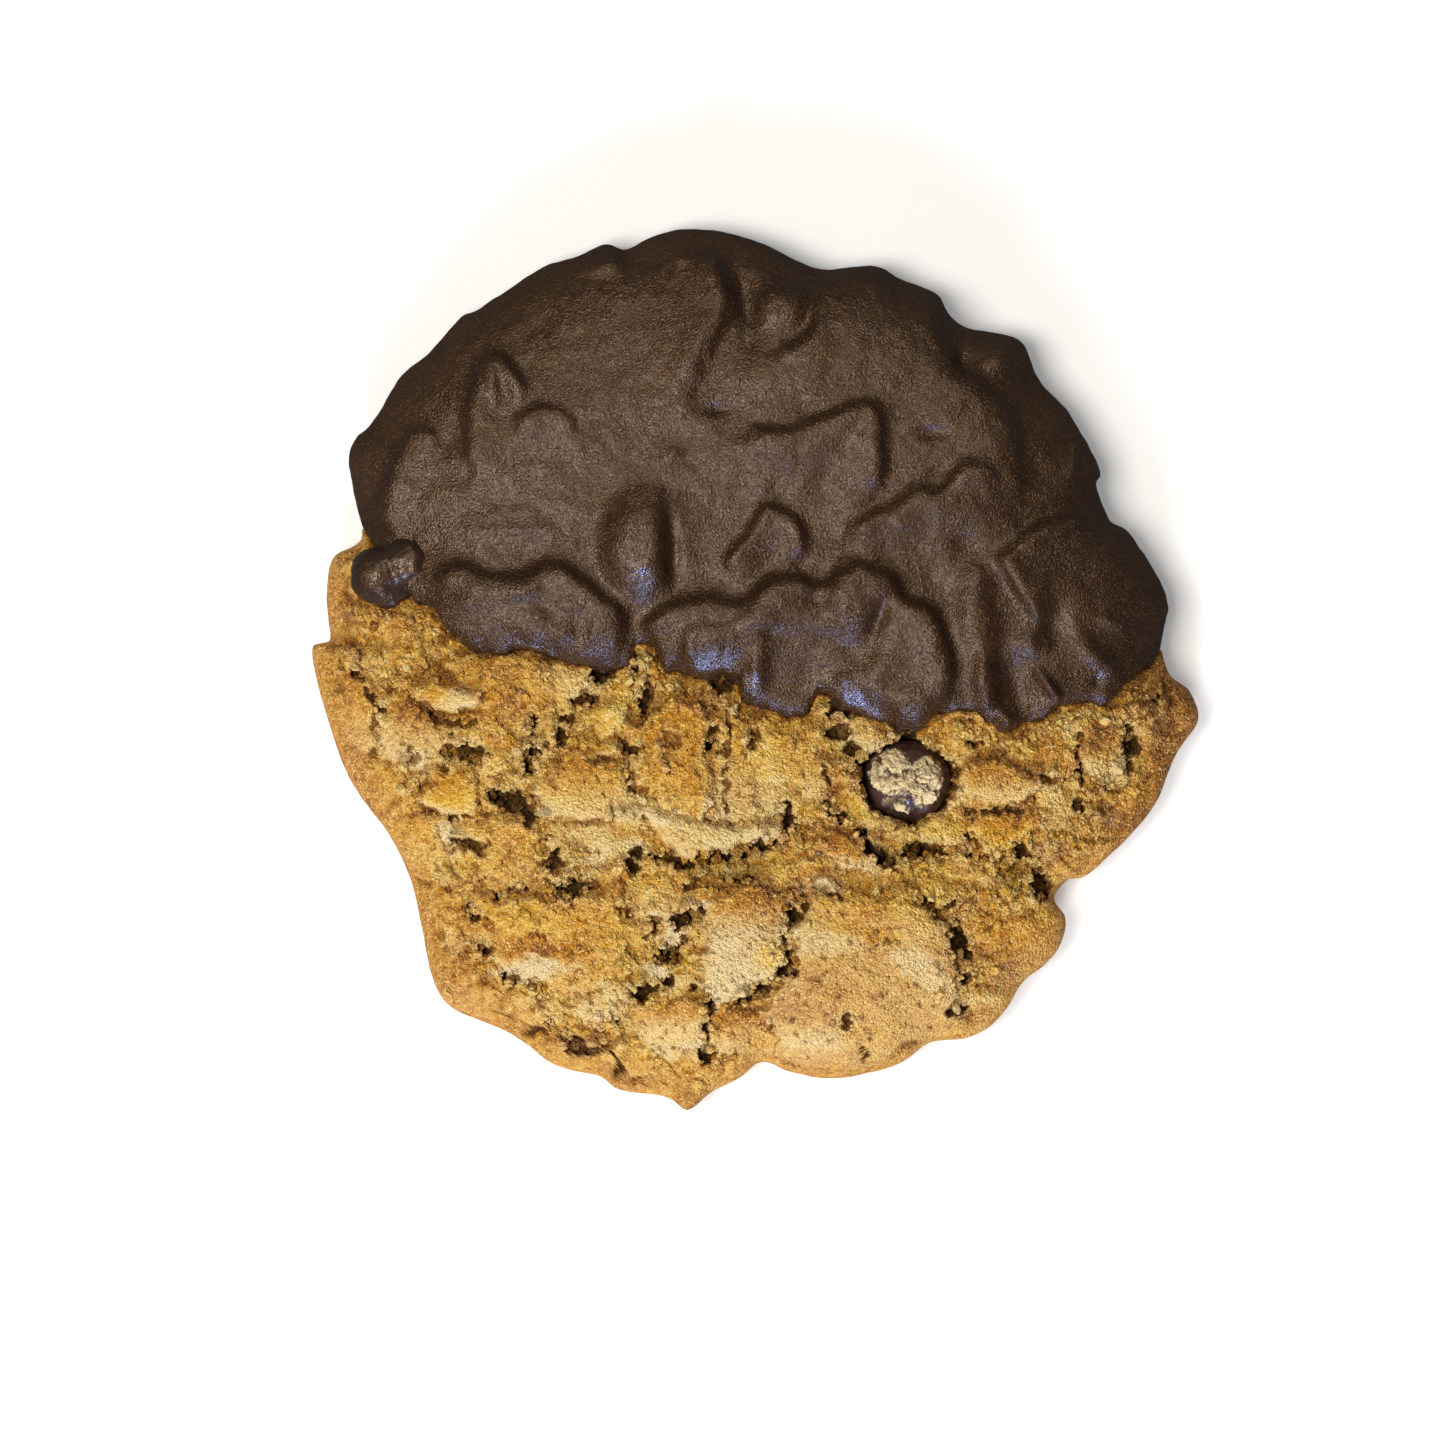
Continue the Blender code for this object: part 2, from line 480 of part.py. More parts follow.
def chip_mesh(name, room):
    """Flattened drop with a slightly wavy waist, grown by room on every side."""
    rings, sides = 9, 24
    level = np.linspace(-0.5 * math.pi, 0.5 * math.pi, rings + 2)[1:-1]
    bearing = np.arange(sides) * 2.0 * math.pi / sides
    wave = 1.0 + 0.04 * np.cos(3.0 * bearing + 0.6) + 0.03 * np.cos(5.0 * bearing + 2.0)
    turn = math.radians(CHIP_TURN)
    loops = []
    for angle in level:
        out = math.cos(angle) ** 0.8 * wave
        x = (CHIP_HALF[0] + room) * out * np.cos(bearing)
        y = (CHIP_HALF[1] + room) * out * np.sin(bearing)
        z = np.full(sides, (CHIP_HALF[2] + room) * math.sin(angle))
        turned = (x * math.cos(turn) - y * math.sin(turn), x * math.sin(turn) + y * math.cos(turn), z)
        loops.append(np.stack(turned, axis=-1) + np.array(CHIP_AT))
    up = np.array([0.0, 0.0, CHIP_HALF[2] + room])
    return skin_mesh(name, np.array(CHIP_AT) - up, loops, np.array(CHIP_AT) + up)


def build():
    """The three pieces: the biscuit with the chip's pocket cut out, its coat and the chip."""
    for old in list(bpy.data.objects):
        bpy.data.objects.remove(old, do_unlink=True)
    biscuit = add_object("biscuit", biscuit_mesh())
    add_material(biscuit, CRUST_FINISH)
    coat = add_object("chocolate_coat", coat_mesh())
    add_material(coat, COAT_FINISH)
    chip = add_object("chocolate_chip", chip_mesh("chocolate_chip", 0.0))
    add_material(chip, CHIP_FINISH)

    cutter = add_object("chip_pocket_cutter", chip_mesh("chip_pocket_cutter", CHIP_ROOM))
    cutter.hide_render = True
    cutter.display_type = "WIRE"
    pocket = biscuit.modifiers.new("chip_pocket", "BOOLEAN")
    pocket.operation = "DIFFERENCE"
    pocket.object = cutter


build()
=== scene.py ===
"""Looks of a craggy drop biscuit whose upper part is dipped in dark chocolate.

The biscuit lies flat, +Z up, with its bare crust towards -Y and the chocolate towards +Y. Sizes
are in millimetres and degrees, and MM turns them into metres where a mesh is made.

Every skin is a stack of closed cross-cuts, computed as whole arrays: rows of the array are cuts,
columns run over the top from the left rim to the right rim and back along the underside.
"""

import itertools
import math

import bpy
import numpy as np
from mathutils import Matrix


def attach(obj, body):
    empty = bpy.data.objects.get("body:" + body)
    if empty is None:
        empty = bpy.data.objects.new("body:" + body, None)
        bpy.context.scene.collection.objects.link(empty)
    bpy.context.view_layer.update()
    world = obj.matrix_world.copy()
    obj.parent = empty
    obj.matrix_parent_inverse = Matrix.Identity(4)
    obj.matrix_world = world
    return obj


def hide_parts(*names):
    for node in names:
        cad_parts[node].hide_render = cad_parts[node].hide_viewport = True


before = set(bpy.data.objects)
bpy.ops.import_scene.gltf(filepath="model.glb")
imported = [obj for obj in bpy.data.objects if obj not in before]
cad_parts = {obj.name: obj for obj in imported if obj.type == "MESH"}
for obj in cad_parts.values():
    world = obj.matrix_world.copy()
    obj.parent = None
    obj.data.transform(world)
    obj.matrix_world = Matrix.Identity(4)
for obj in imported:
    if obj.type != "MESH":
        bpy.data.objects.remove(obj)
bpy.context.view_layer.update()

MM = 0.001
SEED = 4

# Body of the biscuit: the widest level of its edge, the rise from there to the middle and how flat
# that is, where the underside turns up, how low the crust's floor lies under the dome, and the
# outer shares of the dome where its relief fades and where the crust has a skin.
EDGE_HEIGHT = 3.5
CROWN = 9.0
CROWN_FLATNESS = 4.0
FOOT_START = 0.9
CRUST_DROP = 2.0
RIM_FADE = 0.05
RIM_SKIN = 0.10

# Where crust and chocolate meet: the depth of the lip's foot over the dome and at the rim, how far
# back the lip is round, how deep the coat's inside lies, and how deep the crust's core under it.
LIP_DEPTH = (2.4, 0.9)
LIP_ROUND = 2.0
COAT_INSIDE = 2.3
CORE_INSET = 2.6

# Raggedness of edges: a push by noise, then the size and the pull of the cells they break off in.
SLAB_BREAKS = (0.45, ((1.7, 0.45), (0.8, 0.45)))
HOLE_BREAKS = (0.35, ((1.3, 0.5), (0.6, 0.5)))
CHIP_BREAKS = (0.15, ((0.7, 0.5), (0.35, 0.4)))

# Slabs and nubs of the crust: how far a smooth edge is straightened, the width of an edge and what
# its north end adds, how far and how wide a border is worn down, the slants left to chance, how
# square a nub is, a brow's width, from where an edge takes the piece's tone, and what the pale
# south lip adds to bake, flour and shade, with its width. The lip's paleness is partly the pale
# broken crumb and partly painted light on the edge that faces the light.
SMOOTH_EDGE = 0.6
EDGE_WIDTH = (0.45, 1.6)
WORN_BORDER = (0.28, 0.9)
SLAB_SLANT = 0.03
NUB_SLANT = 0.05
NUB_SQUARENESS = 2.6
BROW_WIDTH = 0.8
TINTED_FROM = 0.3
SOUTH_LIP = (-0.12, 0.42, 0.0)
SOUTH_LIP_WIDTH = 0.55

# Grain of the crust: height and size of its coarse and its fine broken crumb, then of its grains.
CRUMB_CHUNKS = ((0.46, 1.35), (0.36, 0.70))
GRAINS = (0.13, 0.62)

# Relief of the chocolate: what the tables' heights are multiplied by, how finely a terrace's walk
# is divided, and the limit of their sum.
TERRACE_SHARE = 1.45
TERRACE_POINTS = 70
BUMP_SHARE = 1.35
HIGHEST_RELIEF = 2.3

# Chocolate chip: where it sits, half its sizes and turn, and the pocket round it.
CHIP_AT = (13.5, -10.0, 8.9)
CHIP_HALF = (3.95, 3.5, 2.9)
CHIP_TURN = -12.0
CHIP_POCKET = (*CHIP_AT[:2], 4.25, 3.8, CHIP_TURN)
POCKET_DEPTH = 3.2

# How finely the skins are divided.
TOP_POINTS = 430
UNDER_POINTS = 34
CRUST_CUTS = 195
COAT_CUTS = 190

# The outline seen from above, as its crests and notches, clockwise from the top.
OUTLINE = (
    (-6.8, 39.6), (-3.2, 39.4), (0.9, 38.2), (4.0, 36.7), (6.3, 36.0), (10.8, 36.3), (13.0, 35.2),
    (16.2, 33.8), (17.5, 31.9), (19.3, 30.7), (23.8, 29.6), (25.4, 26.2), (28.3, 22.9),
    (31.0, 18.0), (30.7, 16.6), (31.8, 13.5), (33.5, 12.3), (36.4, 8.1), (37.1, 5.8), (36.9, 4.6),
    (36.6, 1.8), (37.3, -0.5), (39.1, -2.0), (39.8, -4.6), (37.8, -7.7), (35.5, -12.8),
    (30.1, -18.3), (28.1, -18.9), (26.9, -20.7), (27.9, -22.4), (27.5, -24.6), (26.2, -26.4),
    (24.1, -28.1), (22.8, -30.2), (21.1, -32.1), (18.9, -33.2), (15.7, -33.6), (12.6, -35.6),
    (7.2, -36.8), (3.1, -36.2), (0.6, -35.3), (-1.7, -36.9),
    (-4.0, -38.0), (-6.1, -39.7), (-8.0, -38.5), (-12.3, -37.8), (-14.0, -36.6), (-18.0, -35.6),
    (-22.0, -32.8), (-27.2, -30.5), (-29.0, -27.9), (-30.0, -23.3), (-31.0, -19.0), (-33.0, -14.8),
    (-36.5, -9.9), (-39.0, -2.8), (-39.9, 1.9), (-38.3, 2.6), (-38.6, 6.3), (-38.1, 9.9),
    (-36.0, 11.2), (-35.4, 12.6), (-36.6, 18.4), (-36.0, 20.7), (-34.7, 22.0), (-32.0, 26.2),
    (-29.3, 28.6), (-26.6, 31.6), (-24.8, 32.5), (-19.4, 36.0), (-15.8, 37.3), (-13.5, 38.3),
    (-11.7, 37.8), (-9.5, 38.8),
)

# The dip line from the left rim to the right rim, as the tips and bays of the chocolate's edge.
DIP_LINE = (
    (-35.6, 12.4), (-34.3, 9.8), (-33.4, 8.0), (-32.0, 6.6), (-30.4, 5.6), (-28.9, 4.4),
    (-27.5, 2.6), (-26.1, 1.1), (-23.5, 0.9), (-21.6, 1.4), (-19.8, 0.8), (-16.8, 0.1),
    (-13.8, -0.6), (-11.7, -0.1), (-10.7, 1.6), (-9.2, 1.4), (-8.3, -0.6), (-6.8, -0.6),
    (-5.0, -1.5), (-4.1, -1.6), (-3.3, -0.9), (-2.3, -1.3), (-1.6, -2.4), (-1.0, -3.8),
    (0.4, -4.3), (3.5, -4.6), (4.5, -4.4), (5.2, -3.1), (6.4, -2.8), (8.0, -4.2), (10.5, -5.0),
    (13.5, -6.1), (15.0, -6.1), (15.9, -4.8), (17.2, -4.3), (19.5, -4.6), (21.2, -5.6),
    (22.8, -6.2), (24.4, -5.4), (26.5, -4.7), (27.6, -3.6), (30.0, -3.6), (32.0, -3.4),
    (33.6, -2.5), (34.9, -1.1), (36.0, 0.0), (36.8, 1.4),
)

# Tones of the crust: how far it is baked, how pale and floury, and how much painted shade it has.
# The olive and mossy tones are painted shade, for recesses, valleys and the bays by the chocolate.
TONES = {
    "crumb": (0.50, 0.10, 0.10),
    "white": (0.12, 0.95, 0.0),
    "pale": (0.20, 0.50, 0.0),
    "yellow": (0.30, 0.08, 0.0),
    "golden": (0.47, 0.12, 0.0),
    "tan": (0.48, 0.40, 0.05),
    "toasted": (0.66, 0.03, 0.0),
    "orange": (0.76, 0.0, 0.05),
    "brown": (0.86, 0.12, 0.15),
    "olive_shade": (0.44, 0.0, 0.70),
    "mossy": (0.36, 0.0, 1.10),
}

# Slabs and flakes of the crust: lift over the floor, fall from the north end to the south end, tone
# at the north end and at the south end, how smooth they are, and the corners of their outlines.
SLABS = {
    "left_long_flake": (1.9, 0.2, "toasted", "tan", 0.9, (
        (-36.6, 0.1), (-35.4, -0.6), (-34.5, -2.0), (-34.0, -3.3), (-34.3, -5.0), (-33.9, -6.5),
        (-34.7, -7.9), (-36.2, -6.9), (-37.2, -5.0), (-37.5, -3.2), (-37.1, -1.2))),
    "left_block": (2.0, 0.5, "orange", "white", 0.5, (
        (-33.5, -4.6), (-32.2, -3.9), (-31.4, -2.9), (-29.9, -2.7), (-28.6, -3.9), (-28.2, -5.4),
        (-27.9, -7.4), (-28.6, -8.4), (-29.6, -9.3), (-30.6, -9.8), (-31.9, -9.4), (-32.7, -8.2),
        (-33.3, -6.8))),
    "upper_left_ledge": (2.5, 0.1, "golden", "yellow", 1.0, (
        (-31.1, -2.0), (-30.2, -1.2), (-28.8, -0.6), (-26.6, -1.2), (-24.7, -2.4), (-24.6, -3.3),
        (-25.9, -3.6), (-27.0, -3.9), (-28.1, -3.9), (-28.9, -3.3), (-29.7, -2.8), (-30.5, -2.6))),
    "upper_left_block": (1.8, 0.2, "golden", "golden", 0.2, (
        (-28.2, 0.9), (-24.0, 1.2), (-20.4, 1.4), (-17.6, 0.4), (-17.9, -2.0), (-19.2, -3.0),
        (-19.9, -4.4), (-20.3, -6.4), (-21.2, -9.8), (-24.2, -9.9), (-24.6, -8.2), (-24.2, -6.9),
        (-25.8, -6.4), (-27.9, -6.8), (-28.1, -4.4), (-25.0, -3.6), (-27.0, -1.0))),
    "corner_flake": (2.3, 0.0, "golden", "yellow", 1.0, (
        (-30.4, -11.6), (-29.4, -10.4), (-28.2, -9.7), (-26.0, -9.3), (-24.9, -10.3),
        (-24.9, -11.8), (-25.1, -13.4), (-26.2, -13.4), (-28.2, -12.6), (-29.6, -12.3))),
    "left_pale_block": (1.6, 0.2, "white", "white", 0.3, (
        (-28.4, -12.8), (-26.2, -13.4), (-25.6, -14.6), (-26.6, -15.2), (-27.6, -16.2),
        (-28.4, -15.2))),
    "left_rim_block": (1.5, 0.3, "yellow", "pale", 0.2, (
        (-34.9, -8.6), (-33.2, -8.0), (-32.0, -9.4), (-30.3, -10.2), (-30.6, -11.4), (-31.8, -12.4),
        (-33.4, -12.7), (-35.2, -11.4))),
    "left_low_block": (1.5, 0.2, "toasted", "pale", 0.3, (
        (-31.2, -13.4), (-30.4, -12.9), (-28.6, -13.0), (-28.2, -15.0), (-27.6, -17.4),
        (-26.2, -18.6), (-28.4, -19.2), (-31.3, -17.6), (-31.6, -15.4))),
    "left_edge_band": (1.3, 0.0, "tan", "pale", 0.4, (
        (-33.4, -12.9), (-31.9, -12.8), (-31.5, -14.8), (-31.6, -16.8), (-32.4, -15.6))),
    "left_middle_block": (1.9, 0.5, "golden", "golden", 0.1, (
        (-25.4, -13.8), (-23.6, -13.3), (-21.4, -13.4), (-19.6, -13.0), (-18.9, -14.4),
        (-19.4, -15.6), (-18.8, -16.6), (-17.4, -18.6), (-18.3, -19.8), (-22.0, -20.2),
        (-25.9, -20.1), (-27.4, -18.4), (-27.6, -16.8), (-26.6, -15.9), (-25.2, -15.6))),
    "dip_pale_column": (1.7, 0.3, "pale", "yellow", 0.1, (
        (-18.9, 0.6), (-16.8, 0.4), (-14.2, 0.2), (-14.0, -1.8), (-15.8, -2.4), (-16.4, -3.8),
        (-17.3, -4.8), (-17.4, -5.8), (-18.6, -6.6), (-19.2, -4.2), (-18.2, -2.4))),
    "dip_yellow_block": (1.8, 0.2, "yellow", "yellow", 0.1, (
        (-16.0, -4.1), (-14.2, -3.7), (-12.9, -2.9), (-11.8, -3.1), (-11.7, -4.9), (-12.0, -6.3),
        (-14.2, -5.8), (-15.8, -5.6))),
    "dip_gold_block": (1.6, 0.1, "golden", "yellow", 0.0, (
        (-13.8, -0.7), (-11.0, -0.2), (-10.6, -1.4), (-10.9, -2.9), (-12.6, -2.5), (-13.6, -1.8))),
    "golden_strip": (1.7, 0.0, "golden", "golden", 0.0, (
        (-19.4, -6.8), (-17.2, -6.2), (-12.2, -6.5), (-11.6, -8.0), (-13.4, -7.8), (-15.2, -7.2),
        (-17.2, -7.7), (-18.6, -8.9), (-19.8, -9.4))),
    "toasted_dome": (2.4, 0.4, "toasted", "pale", 0.5, (
        (-18.4, -8.7), (-17.0, -7.9), (-15.0, -7.3), (-13.0, -7.9), (-11.4, -8.4), (-11.3, -10.0),
        (-10.2, -11.1), (-9.4, -11.9), (-11.4, -12.1), (-13.0, -12.9), (-14.6, -13.5),
        (-16.4, -13.6), (-18.9, -13.0), (-19.8, -10.6))),
    "middle_block": (2.4, 0.3, "toasted", "golden", 0.4, (
        (-10.2, -4.4), (-8.8, -3.2), (-6.2, -2.6), (-4.4, -3.4), (-3.8, -4.6), (-4.4, -5.6),
        (-4.4, -7.4), (-4.0, -9.0), (-4.0, -12.9), (-6.2, -13.2), (-8.4, -12.2), (-9.8, -11.2),
        (-10.8, -9.8), (-10.4, -7.4), (-11.6, -6.2), (-11.5, -5.0))),
    "middle_right_block": (2.3, 0.3, "golden", "pale", 0.3, (
        (-3.5, -4.0), (-1.6, -4.0), (0.4, -4.4), (3.6, -4.7), (5.8, -4.9), (6.0, -7.4), (6.0, -9.6),
        (6.6, -11.8), (6.3, -12.6), (4.4, -11.8), (2.6, -12.2), (2.2, -13.2), (0.2, -13.7),
        (-0.8, -14.1), (-2.4, -14.0), (-3.8, -13.2), (-3.6, -8.6), (-3.9, -7.0))),
    "step_slope": (1.3, 0.2, "golden", "yellow", 0.5, (
        (6.2, -4.8), (8.4, -4.6), (11.2, -5.6), (9.8, -7.4), (9.1, -9.4), (9.4, -11.6),
        (10.6, -13.2), (12.4, -14.0), (10.0, -14.4), (7.8, -13.6), (6.4, -13.0), (6.5, -9.0))),
    "long_ledge": (2.6, 0.4, "white", "pale", 1.0, (
        (-13.2, -12.9), (-11.4, -12.2), (-9.0, -12.1), (-7.0, -12.9), (-4.2, -13.4), (-2.2, -14.1),
        (0.6, -13.9), (2.4, -13.6), (2.5, -14.9), (0.6, -15.4), (-1.4, -15.3), (-2.6, -15.9),
        (-3.4, -16.6), (-4.6, -16.1), (-5.3, -17.3), (-6.4, -16.8), (-7.2, -16.0), (-8.0, -15.5),
        (-8.6, -14.6), (-10.2, -13.5), (-12.0, -13.2))),
    "under_left_block": (1.7, 0.3, "pale", "white", 0.2, (
        (-17.6, -14.1), (-14.0, -13.4), (-11.0, -13.7), (-9.2, -14.8), (-8.4, -15.8),
        (-10.3, -16.1), (-10.8, -17.0), (-12.0, -17.2), (-12.3, -18.5), (-16.6, -18.3),
        (-17.0, -16.8), (-18.2, -15.6))),
    "nose": (1.9, 0.0, "yellow", "yellow", 0.4, (
        (3.0, -12.4), (4.6, -12.1), (6.2, -12.7), (5.9, -13.5), (4.8, -14.0), (3.7, -13.8))),
    "orange_triangle": (2.0, -0.2, "orange", "orange", 0.6, (
        (5.8, -14.3), (7.6, -13.8), (9.0, -15.3), (10.2, -16.6), (10.7, -17.4), (8.6, -17.6),
        (6.9, -17.0), (5.9, -16.4))),
    "triangle_foot": (2.1, 0.0, "white", "white", 0.7, (
        (7.0, -17.0), (8.6, -17.3), (10.6, -17.2), (10.9, -17.7), (8.8, -18.0), (7.4, -17.7))),
    "valley_shelf": (1.5, 0.0, "golden", "golden", 0.0, (
        (0.1, -17.7), (1.6, -16.3), (3.2, -15.6), (4.6, -14.4), (5.8, -14.5), (6.0, -16.9),
        (7.6, -17.8), (10.8, -17.8), (12.4, -18.6), (12.4, -20.4), (8.0, -20.0), (4.0, -19.4),
        (1.6, -20.0), (0.2, -19.2))),
    "valley_streak": (2.0, 0.1, "white", "white", 0.4, (
        (4.2, -18.7), (5.6, -18.2), (7.2, -19.0), (8.2, -19.9), (6.2, -19.7), (4.4, -19.3))),
    "valley_flake": (1.5, 0.0, "yellow", "golden", 0.1, (
        (-10.0, -19.0), (-8.4, -17.9), (-6.8, -17.9), (-6.2, -18.9), (-4.8, -19.2), (-4.4, -19.9),
        (-5.6, -20.4), (-7.2, -20.4), (-9.0, -19.8))),
    "seam_block": (1.6, 0.1, "yellow", "pale", 0.0, (
        (-11.6, -18.6), (-9.6, -18.4), (-6.6, -20.2), (-6.8, -21.6), (-7.6, -22.8), (-9.0, -22.0),
        (-11.2, -21.8))),
    "plate_left_crown": (2.4, 0.2, "orange", "tan", 0.2, (
        (-4.3, -20.2), (-2.6, -19.4), (-1.6, -19.6), (0.0, -18.8), (2.0, -19.6), (3.9, -20.2),
        (3.4, -21.6), (2.8, -22.8), (2.6, -24.2), (0.6, -23.6), (-2.0, -23.2), (-4.4, -22.8),
        (-4.6, -21.4))),
    "white_plate": (2.3, 0.4, "white", "white", 0.5, (
        (-4.2, -22.5), (-1.8, -22.3), (0.6, -22.8), (2.6, -23.6), (3.1, -25.6), (3.0, -26.5),
        (1.8, -27.2), (0.6, -28.1), (-0.6, -28.3), (-1.8, -29.0), (-2.3, -29.9), (-3.6, -29.8),
        (-4.4, -28.8), (-4.7, -27.0), (-4.5, -25.2))),
    "white_plate_side": (1.7, 0.0, "yellow", "yellow", 0.1, (
        (-6.9, -28.2), (-6.6, -26.4), (-5.6, -24.8), (-4.6, -25.0), (-4.7, -28.8), (-6.0, -28.8))),
    "great_plate": (2.6, 0.5, "tan", "tan", 0.6, (
        (3.4, -23.0), (5.6, -21.8), (9.4, -21.9), (12.4, -22.6), (15.2, -22.9), (17.2, -24.2),
        (18.1, -27.0), (18.0, -29.0), (18.4, -31.4), (16.4, -33.2), (13.4, -33.6), (12.0, -35.0),
        (8.0, -36.2), (3.4, -36.0), (2.2, -34.8), (2.0, -33.6), (0.6, -30.8), (2.0, -28.6),
        (3.4, -27.0))),
    "plate_crown": (2.5, 0.0, "golden", "tan", 0.4, (
        (3.7, -21.2), (5.0, -19.9), (8.0, -19.6), (12.4, -19.9), (14.2, -20.4), (16.4, -22.2),
        (17.4, -23.2), (17.0, -24.8), (12.4, -23.8), (9.4, -22.9), (5.6, -22.8), (3.6, -23.4),
        (3.9, -22.4))),
    "valley_right_block": (1.5, 0.1, "golden", "golden", 0.0, (
        (12.6, -18.4), (15.4, -17.2), (18.0, -17.6), (20.0, -17.0), (22.0, -18.0), (24.4, -19.0),
        (25.0, -20.8), (23.6, -22.2), (19.6, -22.0), (17.6, -22.6), (16.2, -21.8), (14.6, -20.4),
        (12.8, -20.4))),
    "right_low_slope": (1.5, 0.2, "toasted", "brown", 0.5, (
        (18.6, -22.6), (22.0, -22.4), (24.8, -22.0), (27.0, -23.6), (26.6, -25.6), (24.6, -27.2),
        (22.6, -28.4), (20.0, -28.0), (19.4, -26.4), (19.2, -24.6))),
    "right_low_flake": (1.6, 0.1, "yellow", "white", 0.4, (
        (18.6, -28.4), (20.4, -28.6), (22.0, -29.2), (21.6, -30.2), (19.4, -30.2), (18.4, -29.6))),
    "right_low_skin": (1.3, 0.0, "orange", "tan", 0.6, (
        (18.4, -30.6), (20.4, -30.2), (21.8, -30.6), (20.6, -32.2), (18.4, -33.0), (16.8, -33.0),
        (17.6, -31.4))),
    "right_flake": (2.3, 0.5, "orange", "pale", 0.7, (
        (17.8, -9.2), (19.0, -8.3), (21.4, -8.1), (23.2, -9.0), (25.6, -9.9), (25.4, -11.2),
        (24.0, -11.9), (22.2, -12.0), (20.6, -12.1), (19.2, -11.7), (17.9, -11.4))),
    "right_golden_block": (2.0, 0.1, "toasted", "yellow", 0.6, (
        (20.0, -12.5), (22.2, -12.4), (24.0, -12.2), (25.0, -13.2), (24.8, -14.4), (23.7, -15.3),
        (22.7, -15.8), (22.0, -16.6), (21.4, -17.2), (20.6, -16.4), (19.8, -15.2), (19.2, -14.0))),
    "right_pale_bar": (1.7, 0.1, "pale", "tan", 0.4, (
        (25.9, -10.4), (27.2, -10.2), (27.8, -11.8), (28.2, -13.0), (27.9, -14.4), (26.2, -14.8),
        (25.2, -13.8), (25.1, -12.8))),
    "right_scrap": (1.4, 0.1, "golden", "toasted", 0.3, (
        (21.6, -6.6), (24.4, -6.0), (26.6, -5.4), (28.6, -5.6), (28.7, -8.4), (28.4, -9.6),
        (25.4, -9.6), (23.4, -8.8), (21.6, -7.9))),
    "right_dip_block": (1.3, 0.1, "yellow", "golden", 0.0, (
        (16.2, -4.6), (19.6, -4.6), (21.0, -5.6), (21.4, -7.8), (18.8, -8.0), (17.4, -8.8),
        (17.2, -7.0))),
    "chip_low_shelf": (1.4, 0.0, "yellow", "yellow", 0.0, (
        (11.0, -13.8), (13.6, -14.0), (17.2, -12.8), (19.2, -12.8), (19.2, -15.6), (17.6, -16.0),
        (15.8, -15.4), (12.6, -15.2))),
    "right_orange_block": (2.0, 0.1, "orange", "pale", 0.4, (
        (29.5, -5.2), (31.2, -4.9), (33.0, -5.0), (32.9, -8.6), (33.4, -9.5), (31.4, -10.1),
        (29.6, -10.0), (29.3, -8.6), (29.6, -6.8))),
    "right_slope": (1.2, 0.0, "brown", "brown", 0.8, (
        (28.6, -12.8), (31.0, -11.0), (34.6, -11.6), (35.0, -13.4), (32.6, -15.8), (29.8, -18.0),
        (26.6, -18.2), (25.0, -16.6), (25.6, -15.2), (28.2, -14.8))),
    "lower_left_block": (2.4, 0.6, "golden", "golden", 0.3, (
        (-25.9, -19.9), (-22.0, -20.0), (-18.6, -19.9), (-16.4, -20.6), (-14.2, -20.0),
        (-12.6, -19.6), (-12.1, -21.6), (-11.7, -23.0), (-11.4, -24.6), (-12.2, -26.2),
        (-12.8, -27.2), (-14.6, -29.0), (-17.2, -29.6), (-19.0, -28.2), (-21.2, -27.6),
        (-23.2, -26.6), (-23.6, -25.4), (-23.0, -24.0), (-23.8, -22.6), (-24.8, -21.6))),
    "lower_left_crescent": (1.8, 0.2, "toasted", "white", 0.8, (
        (-28.2, -22.8), (-26.8, -22.1), (-24.6, -22.1), (-23.2, -23.2), (-22.6, -24.0),
        (-23.8, -24.6), (-24.8, -25.2), (-26.6, -25.0), (-28.2, -25.2))),
    "lower_left_rim": (1.1, 0.0, "tan", "tan", 0.6, (
        (-30.8, -19.4), (-29.0, -20.0), (-28.4, -22.8), (-28.2, -25.6), (-28.0, -27.8),
        (-29.2, -28.0), (-29.8, -25.6), (-30.0, -22.6))),
    "lower_left_slope": (1.3, 0.0, "pale", "tan", 0.6, (
        (-28.2, -28.2), (-26.0, -28.4), (-23.4, -28.6), (-22.6, -29.6), (-22.0, -31.6),
        (-23.6, -31.9), (-26.4, -30.9), (-28.0, -29.8))),
    "bottom_left_ledge": (1.4, 0.0, "pale", "tan", 0.4, (
        (-22.0, -29.6), (-20.2, -29.6), (-18.4, -30.2), (-17.6, -31.6), (-19.4, -32.1),
        (-21.2, -32.6), (-22.4, -31.4))),
    "lower_ridge": (1.6, 0.2, "white", "pale", 0.3, (
        (-16.4, -29.8), (-14.6, -29.4), (-12.4, -27.9), (-11.0, -27.5), (-10.9, -28.6),
        (-11.2, -30.2), (-9.9, -30.4), (-9.7, -31.8), (-11.6, -32.0), (-13.6, -31.6),
        (-15.6, -31.7), (-17.4, -31.2))),
    "bottom_flake": (1.5, 0.0, "golden", "golden", 0.3, (
        (-12.0, -34.4), (-11.4, -33.8), (-9.4, -34.2), (-7.9, -34.8), (-8.8, -36.4), (-10.4, -37.0),
        (-12.2, -36.6), (-11.8, -35.4))),
    "bottom_yellow_ledge": (1.4, 0.0, "yellow", "golden", 0.8, (
        (-17.2, -35.0), (-15.4, -35.0), (-13.4, -35.6), (-12.8, -36.4), (-14.6, -36.1),
        (-17.0, -35.7))),
    "bottom_block": (2.0, 0.2, "orange", "white", 0.6, (
        (-9.9, -30.0), (-8.6, -29.8), (-6.2, -29.3), (-4.4, -29.6), (-4.1, -31.4), (-4.5, -33.0),
        (-5.2, -34.0), (-7.6, -33.8), (-9.6, -33.4), (-10.2, -32.2))),
    "bottom_pale_flake": (1.5, 0.0, "white", "white", 0.4, (
